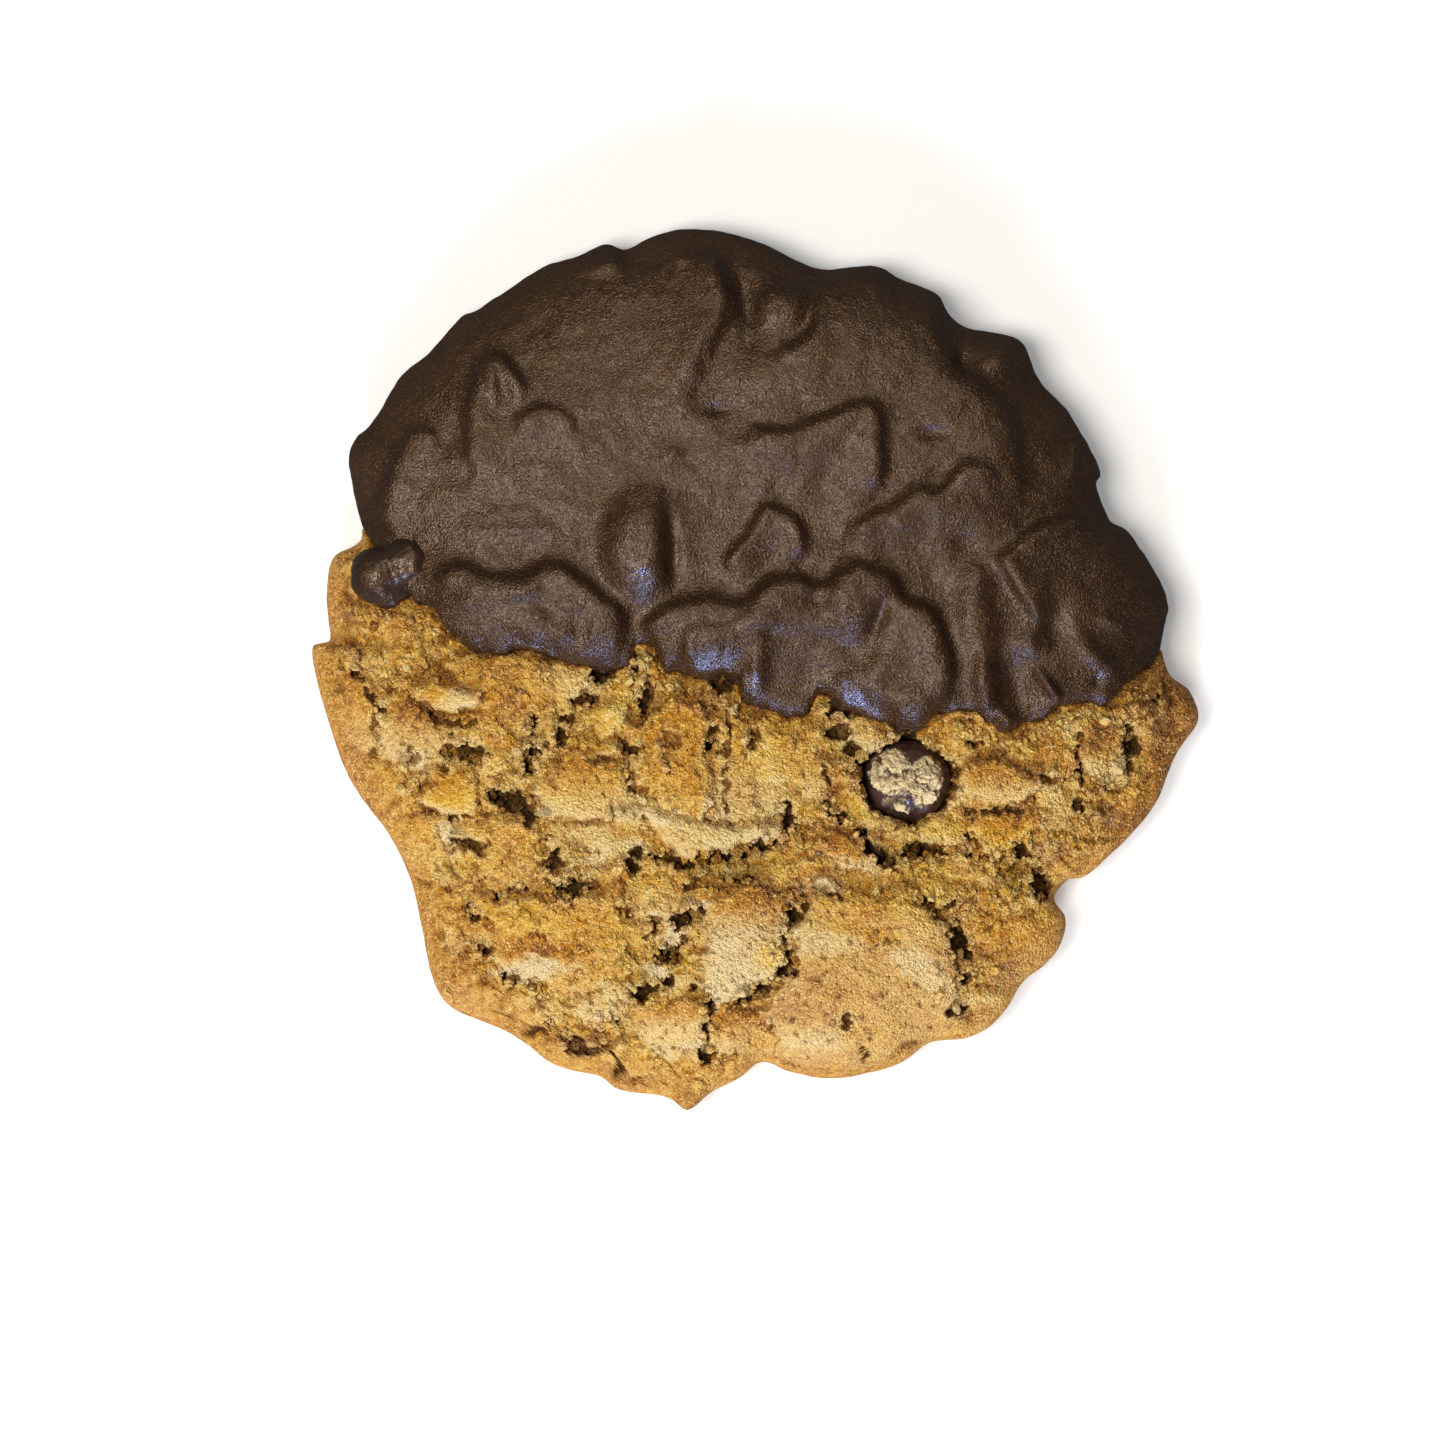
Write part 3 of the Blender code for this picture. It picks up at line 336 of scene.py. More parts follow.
        (-9.4, -33.6), (-7.6, -33.7), (-5.4, -34.0), (-5.4, -34.9), (-7.4, -35.1), (-8.6, -34.4))),
    "bottom_right_block": (1.9, 0.2, "orange", "tan", 0.5, (
        (-3.9, -31.0), (-2.6, -30.4), (-0.6, -30.6), (0.4, -31.6), (1.8, -33.2), (1.6, -34.6),
        (-0.6, -34.4), (-2.8, -34.6), (-3.8, -33.4))),
    "bead_side_flake": (1.8, 0.1, "orange", "golden", 0.4, (
        (-34.2, 4.6), (-32.6, 5.2), (-31.0, 4.6), (-30.7, 3.0), (-31.8, 2.2), (-33.4, 2.4))),
    "bead_inner_flake": (1.4, 0.0, "yellow", "golden", 0.0, (
        (-30.7, 4.6), (-29.4, 4.4), (-27.9, 3.2), (-27.4, 1.6), (-29.6, 1.4), (-31.0, 2.2))),
    "left_pale_slope": (1.4, 0.1, "tan", "pale", 0.3, (
        (-34.4, 1.8), (-32.4, 1.6), (-31.6, 0.0), (-32.6, -1.4), (-34.2, -0.9), (-34.6, 0.6))),
    "left_rim_flake": (1.3, 0.1, "golden", "toasted", 0.7, (
        (-38.9, 1.8), (-36.6, 1.8), (-36.2, 0.4), (-37.0, -1.0), (-38.6, -0.6))),
}

# Nubs and nodules of the crust: middle, half length, half width, turn, lift over the floor, tone.
# The nubs in the bays under the chocolate's edge take the mossy tone, a painted shade.
CRAGS = {
    "left_rim_skin": (-37.3, 7.2, 3.4, 1.2, 88, 1.2, "orange"),
    "bay_nub": (-9.7, 0.4, 1.0, 1.7, 0, 1.4, "mossy"),
    "second_bay_nub": (-6.9, -0.7, 0.5, 0.6, 0, 1.4, "mossy"),
    "bay_crumb": (-2.2, -1.6, 0.9, 0.8, 0, 1.4, "mossy"),
    "chip_bay_crumb": (5.5, -3.6, 0.9, 0.8, 0, 1.4, "golden"),
    "chip_top_stub": (9.6, -5.8, 2.0, 1.2, 0, 1.6, "pale"),
    "rim_nodule": (34.4, -4.9, 1.1, 0.9, 0, 1.8, "yellow"),
    "low_rim_nodule": (33.9, -8.3, 1.2, 0.8, 0, 1.6, "golden"),
    "rim_bar": (35.2, -6.9, 0.7, 1.2, 0, 1.5, "golden"),
    "right_pale_strip": (30.5, -4.5, 2.2, 0.6, 0, 1.8, "pale"),
    "right_rim_skin": (37.6, -3.8, 2.0, 2.6, 0, 1.2, "brown"),
    "bottom_tip": (-6.2, -37.4, 3.6, 1.5, 0, 1.0, "toasted"),
    "dip_ridge": (-31.0, 0.6, 1.2, 1.0, 0, 1.4, "pale"),
}

# Patches of another tone on the crust: middle, half length, half width, turn, tone, strength.
# The patches in the olive tone are painted shade in valleys, by the chip and by the rim.
PATCHES = {
    "long_flake_foot": (-35.6, -6.4, 1.6, 1.2, -70, "tan", 0.8),
    "left_block_rim": (-33.4, -5.5, 0.7, 2.2, 0, "pale", 0.8),
    "ledge_stipple": (-26.4, -2.6, 1.3, 1.0, 0, "white", 0.6),
    "rim_smear": (-33.4, -12.9, 1.3, 0.5, -20, "brown", 0.8),
    "low_block_smear": (-29.5, -12.8, 1.2, 0.5, 0, "brown", 0.7),
    "rim_spot": (-36.9, 5.0, 0.7, 0.6, 0, "brown", 1.0),
    "orange_band": (-19.5, -25.0, 4.0, 0.9, -3, "orange", 0.9),
    "pale_band": (-20.0, -26.8, 3.4, 0.9, 4, "white", 0.9),
    "crescent_top": (-25.6, -22.4, 2.4, 0.8, -4, "orange", 0.6),
    "orange_recess": (-26.4, -26.3, 1.6, 1.0, 0, "orange", 0.9),
    "low_orange_recess": (-19.0, -32.5, 1.8, 0.8, -14, "orange", 0.8),
    "brown_recess": (-15.4, -33.9, 1.8, 0.9, -8, "brown", 1.0),
    "great_streak": (14.6, -26.6, 4.2, 1.2, -38, "white", 0.7),
    "great_low_patch": (5.2, -33.2, 2.6, 1.0, 0, "white", 0.6),
    "great_gold": (10.0, -23.6, 3.2, 1.0, -14, "golden", 0.9),
    "crown_pale_band": (5.8, -24.2, 3.2, 1.1, -6, "white", 0.7),
    "plate_yellow_side": (1.7, -25.6, 1.3, 1.6, -30, "yellow", 0.7),
    "plate_left_side": (-5.0, -26.8, 0.9, 1.6, 0, "tan", 0.6),
    "seam_grey_flecks": (-9.2, -26.8, 1.0, 0.6, 0, "white", 0.9),
    "seam_grey_spot": (-7.6, -23.9, 1.1, 0.8, 20, "white", 0.8),
    "hole_grey_spot": (-4.8, -20.9, 0.9, 0.6, 40, "white", 0.9),
    "valley_shade": (-2.4, -17.6, 4.4, 1.2, 2, "olive_shade", 0.9),
    "chip_side_shade": (14.4, -16.4, 2.0, 1.2, 0, "olive_shade", 0.9),
    "bottom_right_top": (-1.8, -31.0, 2.0, 0.8, 0, "orange", 0.8),
    "bottom_block_foot": (-7.8, -33.0, 2.2, 0.8, 0, "pale", 0.9),
    "tip_brown": (-5.8, -38.6, 1.4, 0.9, 0, "brown", 0.6),
    "low_rim_shade": (6.0, -36.2, 3.4, 0.7, -4, "olive_shade", 0.5),
    "notch_shade": (0.8, -34.4, 1.4, 0.6, 0, "olive_shade", 0.4),
    "flake_sparkle": (-31.6, 0.1, 0.5, 0.4, 0, "white", 1.0),
    "right_rim_orange": (34.0, -13.0, 2.4, 0.7, -45, "orange", 0.7),
    "right_rim_brown": (37.2, -5.0, 3.0, 3.6, 10, "brown", 0.8),
    "slope_left": (-27.6, -29.4, 1.8, 1.0, -40, "tan", 0.7),
    "lower_left_rim": (-29.0, -21.5, 1.2, 3.4, 12, "golden", 0.7),
}

# Holes of the crust: middle, half length, half width, turn, depth.
HOLES = {
    "ragged_hole": (-21.6, -11.9, 2.1, 0.9, -16, 2.0),
    "ragged_hole_arm": (-22.8, -11.2, 0.8, 0.5, 50, 1.6),
    "ragged_hole_foot": (-20.3, -13.0, 0.6, 0.8, 0, 1.6),
    "left_recess": (-25.4, -7.3, 1.4, 0.8, 0, 1.3),
    "left_recess_spot": (-24.3, -7.2, 0.4, 0.4, 0, 1.6),
    "left_small_hole": (-24.0, -13.0, 0.6, 0.5, 0, 1.4),
    "left_low_holes": (-25.7, -15.6, 1.6, 0.5, -8, 1.2),
    "block_dot": (-31.0, -7.1, 0.3, 0.3, 0, 0.8),
    "block_second_dot": (-30.3, -7.8, 0.4, 0.3, 0, 0.8),
    "crack_side_hole": (-17.7, -6.1, 0.35, 0.5, 0, 1.4),
    "crack_low_hole": (-18.9, -7.1, 0.5, 0.35, 0, 1.4),
    "dip_hole": (-15.0, -2.9, 1.3, 0.5, 8, 1.4),
    "dip_small_hole": (-16.8, -4.6, 0.5, 0.4, 0, 1.2),
    "dip_black_hole": (-13.8, -0.7, 0.8, 0.5, 0, 1.8),
    "nub_hole": (-10.5, 0.5, 0.5, 0.7, 0, 1.6),
    "bay_hole": (-3.3, -1.5, 0.9, 0.6, 0, 1.8),
    "second_bay_hole": (6.8, -3.5, 0.8, 0.9, 0, 1.8),
    "middle_hole_line": (-11.0, -7.0, 1.0, 0.35, 0, 1.2),
    "middle_dimple": (-7.4, -6.3, 0.9, 0.7, 0, 0.5),
    "middle_slit": (-8.0, -8.5, 0.3, 0.8, 0, 0.9),
    "middle_right_dot": (-4.1, -5.3, 0.35, 0.4, 0, 1.1),
    "middle_right_hole": (-4.1, -6.7, 0.5, 0.9, 0, 1.5),
    "middle_right_slit": (-0.2, -6.3, 0.3, 0.8, 0, 1.0),
    "middle_low_dot": (-11.1, -10.5, 0.35, 0.6, 0, 1.2),
    "under_block_hole": (-17.8, -17.2, 0.9, 1.0, 0, 1.5),
    "under_block_dot": (-18.6, -14.9, 0.5, 0.4, 0, 1.5),
    "crescent_hole": (-16.0, -19.4, 1.9, 0.8, -8, 1.5),
    "seam_hole": (-11.0, -17.6, 0.6, 0.5, 0, 1.5),
    "step_hole": (7.4, -13.2, 0.8, 0.45, 0, 1.8),
    "step_top_hole": (7.2, -5.6, 0.9, 0.8, 0, 1.5),
    "step_side_hole": (8.8, -7.6, 0.8, 0.6, 0, 1.5),
    "chip_gap": (13.8, -6.5, 1.3, 0.5, 0, 1.6),
    "chip_valley": (14.3, -16.3, 1.3, 0.9, 0, 1.5),
    "right_notch_side": (23.7, -16.2, 1.0, 0.6, -30, 1.3),
    "right_dip_hole": (19.6, -6.6, 0.7, 0.5, 0, 1.4),
    "right_small_hole": (19.2, -15.1, 0.5, 0.4, 0, 1.2),
    "rim_bar_hole": (33.6, -6.8, 0.6, 0.9, 0, 1.4),
    "strip_hole": (28.9, -4.6, 0.7, 0.4, 0, 1.4),
    "rim_dot": (36.0, -3.1, 0.5, 0.4, 0, 1.2),
    "bar_dot": (28.6, -12.2, 0.4, 0.5, 0, 1.2),
    "notch_hole": (25.3, -19.2, 0.9, 1.4, 12, 1.6),
    "plate_corner_hole": (18.0, -24.0, 0.8, 1.3, 8, 2.0),
    "plate_corner_dot": (18.8, -25.5, 0.5, 0.4, 0, 1.5),
    "plate_side_hole": (18.9, -27.8, 0.6, 0.5, 0, 1.5),
    "plate_low_hole": (17.9, -30.5, 0.7, 0.5, 0, 1.5),
    "plate_left_hole": (-5.6, -21.6, 1.3, 0.7, 45, 2.2),
    "plate_left_low_hole": (-6.6, -22.6, 0.6, 0.5, 0, 1.8),
    "white_plate_hole": (-8.0, -25.3, 0.9, 0.7, 0, 2.2),
    "white_plate_dot": (-6.3, -24.4, 0.6, 0.3, -15, 1.4),
    "low_hole": (-9.8, -28.9, 1.2, 1.0, 0, 2.3),
    "low_hole_side": (-7.9, -28.1, 0.6, 0.5, 0, 1.8),
    "left_seam_hole": (-23.3, -20.2, 0.5, 0.3, 0, 1.8),
    "crescent_dot": (-25.5, -21.6, 0.6, 0.5, -40, 1.6),
    "recess_hole": (-23.9, -25.3, 0.6, 0.7, 0, 1.6),
    "recess_left_hole": (-27.0, -25.3, 0.7, 0.4, 0, 1.2),
    "band_hole": (-22.2, -27.8, 0.9, 0.5, 0, 1.7),
    "ridge_dot": (-12.6, -31.2, 0.4, 0.3, 0, 1.5),
    "brown_hole": (-15.4, -33.6, 1.7, 0.7, -6, 1.2),
    "bottom_dot": (-12.4, -35.4, 0.5, 0.5, 0, 1.3),
    "bottom_hole": (-4.3, -34.6, 0.9, 0.6, 0, 1.6),
    "great_dot": (8.3, -31.0, 0.3, 0.6, 0, 1.0),
    "crown_dot": (3.3, -22.2, 0.6, 0.35, -45, 1.5),
    "crown_small_dot": (4.2, -21.2, 0.35, 0.2, 0, 1.0),
    "seam_olive_hole": (-9.0, -22.9, 0.6, 0.5, 40, 1.0),
    "rim_spot_dent": (-35.0, -13.2, 0.7, 0.4, 0, 0.9),
}

# Cracks of the crust: the walk along each one, its half width and its depth.
CRACKS = {
    "upright": (((-19.7, -4.3), (-20.2, -6.4), (-20.3, -9.0)), 0.42, 2.0),
    "left_flake_shadow": (((-35.5, -0.2), (-34.6, -1.8), (-33.2, -3.2)), 0.32, 1.0),
    "dip_side": (((-9.6, -1.6), (-9.8, -2.6), (-10.1, -3.6)), 0.38, 1.5),
    "middle": (((-12.2, -5.6), (-11.6, -8.0), (-11.0, -10.8)), 0.18, 0.8),
    "middle_line": (((-14.6, -8.1), (-13.1, -7.9), (-11.6, -8.0)), 0.12, 0.6),
    "middle_right_line": (((-4.2, -7.1), (-3.3, -7.1), (-2.4, -7.3)), 0.15, 0.8),
    "seam": (((-2.5, -3.4), (-2.3, -6.5), (-2.6, -10.0), (-2.7, -12.8)), 0.14, 0.7),
    "ledge_top": (((-12.9, -12.9), (-11.2, -12.6), (-9.6, -13.4)), 0.15, 0.6),
    "under_ledge": (((-10.6, -16.2), (-9.3, -16.6), (-7.6, -17.0), (-6.0, -17.3), (-5.2, -16.6)),
                    0.36, 1.8),
    "under_ledge_end": (((-4.4, -17.2), (-3.5, -16.5), (-1.0, -16.0), (2.0, -15.6)), 0.38, 1.8),
    "valley_floor": (((-3.0, -18.2), (-1.5, -18.9), (-0.4, -18.2)), 0.4, 1.2),
    "right_seam": (((2.7, -12.2), (2.9, -13.4), (3.2, -14.4), (2.5, -15.7)), 0.3, 1.7),
    "step_face": (((6.3, -8.6), (6.5, -10.8), (6.4, -13.0)), 0.22, 1.0),
    "chip_slot": (((9.5, -14.8), (10.4, -15.7), (11.3, -16.9)), 0.62, 2.2),
    "chip_line": (((13.4, -16.6), (15.8, -16.5), (18.0, -16.3), (20.5, -16.8)), 0.26, 1.3),
    "tall_slot": (((29.0, -6.2), (28.9, -8.0), (29.1, -9.9)), 0.34, 1.6),
    "orange_foot": (((29.7, -10.5), (30.6, -10.6), (31.6, -10.4)), 0.18, 0.9),
    "rim_slot": (((33.4, -4.4), (33.2, -6.6), (33.7, -8.8)), 0.28, 1.1),
    "left_seam": (((-24.4, -20.0), (-22.0, -19.9), (-19.5, -19.6)), 0.10, 0.7),
    "left_seam_tail": (((-25.4, -18.6), (-24.8, -18.3), (-24.0, -18.2)), 0.1, 0.6),
    "under_low_block": (((-31.2, -18.5), (-29.6, -19.3), (-28.2, -19.5), (-26.5, -20.0)), 0.3, 0.7),
    "band_seam": (((-22.0, -27.9), (-20.6, -28.0), (-18.9, -27.8)), 0.2, 1.1),
    "ledge_seam": (((-18.4, -31.2), (-18.2, -31.9), (-19.4, -32.2), (-21.0, -33.0)), 0.22, 1.0),
    "bottom_left_seam": (((-17.4, -32.0), (-16.0, -33.0), (-13.8, -33.2)), 0.2, 0.9),
    "bottom_left_dark": (((-12.6, -34.4), (-12.2, -35.4), (-12.4, -36.4)), 0.28, 1.1),
    "bottom": (((-3.9, -30.0), (-4.1, -31.6), (-4.3, -33.2), (-4.6, -34.8), (-4.8, -36.4)),
               0.16, 1.2),
    "white_plate_under": (((3.2, -25.0), (3.1, -26.4), (1.8, -27.8), (-0.6, -29.0), (-2.4, -30.2),
                           (-4.0, -30.2)), 0.34, 1.7),
    "white_plate_left": (((-6.0, -28.9), (-5.0, -28.8), (-4.2, -29.4), (-3.9, -30.2)), 0.26, 1.4),
    "great_low": (((9.3, -33.5), (9.6, -34.6), (9.8, -35.8)), 0.14, 0.8),
    "great_top": (((12.2, -23.8), (11.6, -24.5), (10.9, -25.1)), 0.12, 0.6),
    "crown": (((6.0, -19.9), (7.0, -20.0), (8.1, -20.2)), 0.16, 0.9),
    "crown_left": (((2.9, -21.9), (2.6, -23.4), (2.7, -24.4)), 0.16, 1.0),
    "seam_low": (((-12.0, -18.2), (-12.1, -20.4), (-11.9, -22.2), (-11.5, -24.4)), 0.12, 0.6),
    "seam_low_fork": (((-11.8, -21.8), (-11.3, -22.3), (-10.7, -22.6)), 0.16, 0.9),
    "low_right": (((20.0, -28.2), (21.0, -28.6), (22.0, -29.0)), 0.14, 0.8),
    "right_seam_low": (((15.0, -20.4), (16.4, -21.8), (17.6, -20.6)), 0.22, 1.0),
    "flake_under": (((18.8, -12.6), (21.0, -12.9), (24.2, -12.7)), 0.2, 0.9),
    "slope_top": (((25.3, -9.6), (27.0, -9.9), (28.8, -9.7)), 0.16, 0.6),
    "valley_side": (((-6.6, -19.1), (-5.9, -19.1), (-5.2, -19.0)), 0.2, 1.0),
    "plate_side": (((-9.8, -24.0), (-9.6, -22.6), (-8.8, -22.2)), 0.2, 0.8),
    "brow": (((-29.0, -4.4), (-26.6, -4.7), (-25.2, -4.3)), 0.26, 1.0),
    "block_gap": (((-27.0, -5.4), (-27.2, -7.0), (-27.6, -8.6)), 0.3, 1.0),
    "corner_under": (((-28.6, -12.9), (-26.8, -13.3), (-25.2, -13.2)), 0.26, 1.0),
    "pale_fork": (((-19.0, -1.4), (-18.6, -2.8), (-19.0, -4.2)), 0.22, 1.0),
}

# Terrace edges of the chocolate: the walk along the edge with the raised side on the right hand,
# then the height of the terrace, the half width of its slope and how far it reaches back.
TERRACES = {
    "front_left_lobe": (((-29.2, 6.6), (-28.2, 8.3), (-27.0, 9.1), (-25.6, 9.1), (-24.0, 8.3),
                         (-22.0, 8.1), (-20.0, 8.5), (-18.4, 9.2), (-16.8, 8.8), (-15.0, 7.6),
                         (-13.6, 6.4), (-12.4, 5.6), (-11.9, 4.2), (-12.1, 2.2), (-12.6, 0.2)),
                        1.25, 1.0, 6.0),
    "front_lobe": (((-10.2, 0.8), (-10.1, 2.6), (-9.3, 4.5), (-8.0, 5.4), (-6.0, 6.0), (-4.0, 6.2),
                    (-2.0, 5.8), (-0.6, 6.2), (0.6, 7.3), (2.0, 8.0), (4.0, 8.0), (5.2, 7.5),
                    (6.4, 7.6), (7.6, 8.6), (9.2, 9.2), (10.8, 8.8), (12.2, 7.8), (12.9, 6.4),
                    (14.3, 5.7), (15.7, 5.1), (16.5, 3.6), (16.9, 2.0), (17.4, 0.0), (17.0, -2.0),
                    (16.1, -3.9), (15.6, -5.6)), 1.5, 1.1, 7.0),
    "second_front_lobe": (((-6.3, 0.0), (-6.3, 2.4), (-5.9, 3.4), (-5.0, 3.8), (-3.5, 3.7),
                           (-2.0, 4.1), (-0.6, 4.9), (0.3, 6.2)), 0.8, 0.7, 3.0),
    "tent": (((-2.9, 8.4), (-2.4, 10.0), (-1.2, 11.5), (-0.2, 12.9), (0.9, 14.4), (2.6, 14.0),
              (3.9, 12.8), (4.3, 11.2), (4.0, 9.4)), 0.8, 0.7, 3.0),
    "middle_block": (((-1.2, 21.6), (1.0, 21.3), (3.0, 21.3), (5.0, 22.0), (7.0, 22.8), (9.0, 23.6),
                      (10.4, 23.4), (11.1, 22.2), (11.3, 20.0), (11.2, 17.5), (10.8, 15.2)),
                     1.1, 0.9, 4.5),
    "right_shelf": (((7.4, 12.0), (9.0, 13.0), (10.5, 13.8), (12.0, 14.3), (13.0, 15.2),
                     (14.2, 16.0), (16.0, 15.8), (17.0, 16.5), (18.2, 17.9), (19.5, 18.3),
                     (21.0, 17.6), (21.9, 16.2)), 1.0, 0.9, 4.0),
    "east_lobe": (((25.4, 3.4), (24.0, 5.8), (22.6, 8.0), (21.7, 9.7), (22.6, 10.7), (24.0, 11.9),
                   (25.5, 12.9), (27.5, 13.5), (29.5, 13.8), (31.4, 13.2)), 1.1, 0.8, 5.0),
    "left_arc": (((-21.8, 21.8), (-20.3, 22.9), (-18.8, 23.4), (-17.3, 23.0), (-15.8, 21.8)),
                 0.6, 0.8, 2.8),
    "left_peak": (((-25.9, 17.6), (-25.8, 20.5), (-25.7, 23.2), (-25.3, 25.2), (-24.7, 27.0),
                   (-23.6, 28.0), (-22.2, 27.6), (-21.0, 25.8), (-19.8, 24.0)), 0.8, 0.7, 3.2),
    "left_crease": (((-34.2, 12.0), (-33.6, 14.8), (-32.8, 17.5), (-31.6, 20.0), (-30.6, 21.2),
                     (-29.2, 21.3), (-27.7, 20.2)), 0.75, 0.8, 3.0),
    "top_block": (((-4.6, 38.2), (-3.3, 36.6), (-2.7, 34.6), (-2.4, 32.6), (-2.8, 31.0),
                   (-3.6, 29.4), (-4.0, 27.2), (-4.7, 24.7)), 0.85, 0.9, 4.5),
    "upper_plateau_west": (((1.6, 28.6), (3.4, 28.9), (4.8, 30.2), (5.3, 32.3), (6.0, 34.3),
                            (7.8, 35.9)), 0.9, 0.8, 5.5),
    "upper_plateau_east": (((15.6, 34.2), (16.6, 32.3), (16.9, 30.0), (17.6, 28.2), (18.2, 26.7),
                            (19.6, 25.6), (21.4, 24.1), (22.8, 22.0), (23.4, 19.0), (23.6, 16.5),
                            (23.4, 14.4)), 1.2, 1.2, 9.0),
}

# Bumps and dents of the chocolate: middle, half length, half width, turn, height and flatness.
BUMPS = {
    "tall_nub": (-10.1, 11.2, 3.0, 4.3, -6, 1.9, 1.6),
    "nub_hollow": (-7.6, 11.0, 0.9, 3.0, 4, -0.9, 1.2),
    "small_lobe": (1.5, 5.6, 2.2, 1.7, 0, 0.7, 1.3),
    "central_ridge": (0.1, 0.4, 0.9, 2.5, -8, 0.9, 1.0),
    "ridge_notch": (1.0, 3.2, 1.0, 0.5, 0, -0.5, 1.0),
    "right_lobe": (8.6, 5.9, 1.7, 2.7, -12, 0.9, 1.5),
    "lobe_valley": (5.3, 6.0, 1.4, 0.7, -10, -0.6, 1.0),
    "knob": (10.9, 7.3, 1.0, 0.9, 0, 0.6, 1.2),
    "knob_hollow": (11.0, 4.6, 0.8, 1.8, -25, -0.7, 1.0),
    "front_bump": (11.3, 0.3, 1.5, 1.2, 20, 0.5, 1.0),
    "front_nub": (7.7, -0.8, 0.9, 0.5, 0, 0.35, 1.0),
    "chip_lobe": (13.6, -3.6, 2.0, 2.2, 0, 0.5, 1.5),
    "right_ridge": (19.6, 4.0, 1.7, 5.5, 3, 0.8, 1.2),
    "right_ridge_foot": (20.4, -1.2, 1.0, 2.6, 0, 0.7, 1.2),
    "right_valley": (23.2, -2.0, 1.5, 3.0, 10, -0.7, 1.0),
    "toe": (22.3, -4.9, 1.2, 1.2, 0, 0.7, 1.3),
    "thin_ridge": (26.1, -1.6, 0.45, 1.9, 38, 0.6, 1.0),
    "small_bump": (24.2, 2.2, 1.5, 1.1, 0, 0.5, 1.0),
    "glint_bump": (30.3, 1.2, 1.8, 0.9, -38, 0.6, 1.2),
    "second_glint_bump": (31.8, 4.2, 1.6, 0.6, -12, 0.4, 1.0),
    "east_valley": (26.8, 4.6, 1.2, 2.6, 8, -0.6, 1.0),
    "shelf_hollow": (19.2, 10.6, 1.8, 1.6, 0, -0.45, 1.0),
    "small_dent": (15.6, 21.0, 1.5, 0.6, 8, -0.4, 1.0),
    "top_hollow": (-4.6, 27.0, 0.9, 2.0, -12, -0.6, 1.0),
    "top_dent": (-4.0, 23.1, 1.7, 0.6, 0, -0.4, 1.0),
    "top_spine": (-4.0, 35.4, 0.9, 1.5, 10, 0.25, 1.0),
    "top_knob": (-6.8, 36.8, 0.8, 0.8, 0, 0.3, 1.0),
    "crown_bump": (2.6, 32.6, 2.0, 2.0, -20, 1.0, 1.6),
    "crown_valley": (-0.9, 32.5, 1.0, 3.2, 8, -0.6, 1.0),
    "crest_bump": (-14.0, 36.4, 2.0, 1.0, 10, 0.6, 1.2),
    "corner_bump": (21.6, 28.0, 1.5, 1.3, 0, 0.6, 1.2),
    "corner_dent": (18.2, 27.4, 0.8, 1.2, 0, -0.6, 1.0),
    "pimple": (-7.3, 19.2, 0.9, 0.7, 30, 0.3, 1.0),
    "left_spine": (-23.5, 25.6, 0.6, 1.7, 10, 0.5, 1.0),
    "faint_bar": (-21.0, 12.3, 3.4, 0.4, 0, 0.15, 1.0),
    "edge_ripple_one": (-24.9, 7.0, 1.3, 0.8, 0, 0.35, 1.0),
    "edge_ripple_two": (-20.3, 7.0, 1.3, 0.8, 0, 0.35, 1.0),
    "edge_ripple_three": (-16.8, 5.6, 1.1, 0.8, -20, 0.4, 1.0),
    "edge_ripple_four": (-17.0, 3.2, 0.9, 0.7, 0, 0.3, 1.0),
    "edge_ripple_five": (-19.3, 4.6, 0.8, 0.6, -30, 0.25, 1.0),
    "edge_ripple_six": (-14.2, 3.4, 0.8, 1.4, -25, 0.4, 1.0),
    "edge_ripple_seven": (-25.9, 5.8, 1.8, 0.6, 0, 0.3, 1.0),
    "edge_valley": (-20.5, 5.7, 3.5, 0.6, 0, -0.15, 1.0),
    "lip_bulge_one": (-19.2, 3.6, 2.6, 1.5, -5, 0.5, 1.0),
    "lip_bulge_two": (-4.2, 2.5, 2.0, 1.4, 0, 0.5, 1.0),
    "lip_bulge_three": (9.4, -1.0, 2.6, 1.4, -25, 0.5, 1.0),
    "rim_ridge": (28.7, 19.8, 0.4, 2.0, -8, 0.4, 1.0),
    "second_rim_ridge": (29.6, 15.6, 1.6, 0.4, 5, 0.4, 1.0),
}

# Soft flats on the chocolate's lip that catch the window: middle, half length, half width and turn,
# then how far each is levelled and how steeply it rises to the north.
LIP_FLATS = {
    "left_lobe_flat": (-19.2, 1.4, 2.8, 0.8, -11),
    "middle_lobe_flat": (-4.2, 0.4, 2.2, 0.9, 0),
    "ridge_foot_flat": (-0.5, -1.2, 0.8, 0.9, 0),
    "chip_side_flat": (9.0, -2.9, 3.2, 0.9, -27),
    "nub_flat": (-10.3, 8.4, 1.1, 1.0, 0),
    "right_toe_flat": (31.0, -0.6, 1.2, 0.6, 35),
}
FLAT_SHARE = 0.8
FLAT_SLOPE = 0.55

# Crumb baked on to the chip: middle, half length, half width and turn of its patches, of the bare
# wedges between them and of the burnt spot.
CHIP_CRUMBS = ((12.1, -9.2, 1.8, 2.0, 0), (14.9, -10.2, 1.6, 2.1, -15), (12.8, -12.0, 1.6, 0.6, -8))
CHIP_WEDGES = ((13.7, -11.9, 0.4, 0.6, 20), (14.3, -7.9, 0.4, 1.0, -62), (11.0, -8.1, 0.3, 0.4, 0))
CHIP_BURNT = (12.5, -12.3, 2.4, 1.1, -12)

# Lobes of the chocolate bead at the left end of the dip line: middle and radius.
BEAD_HEART = (-32.5, 8.6, 8.4)
BEAD_LOBES = (((-33.7, 8.3, 8.3), 2.6), ((-31.1, 9.5, 8.7), 2.35), ((-32.5, 7.3, 8.0), 2.1))

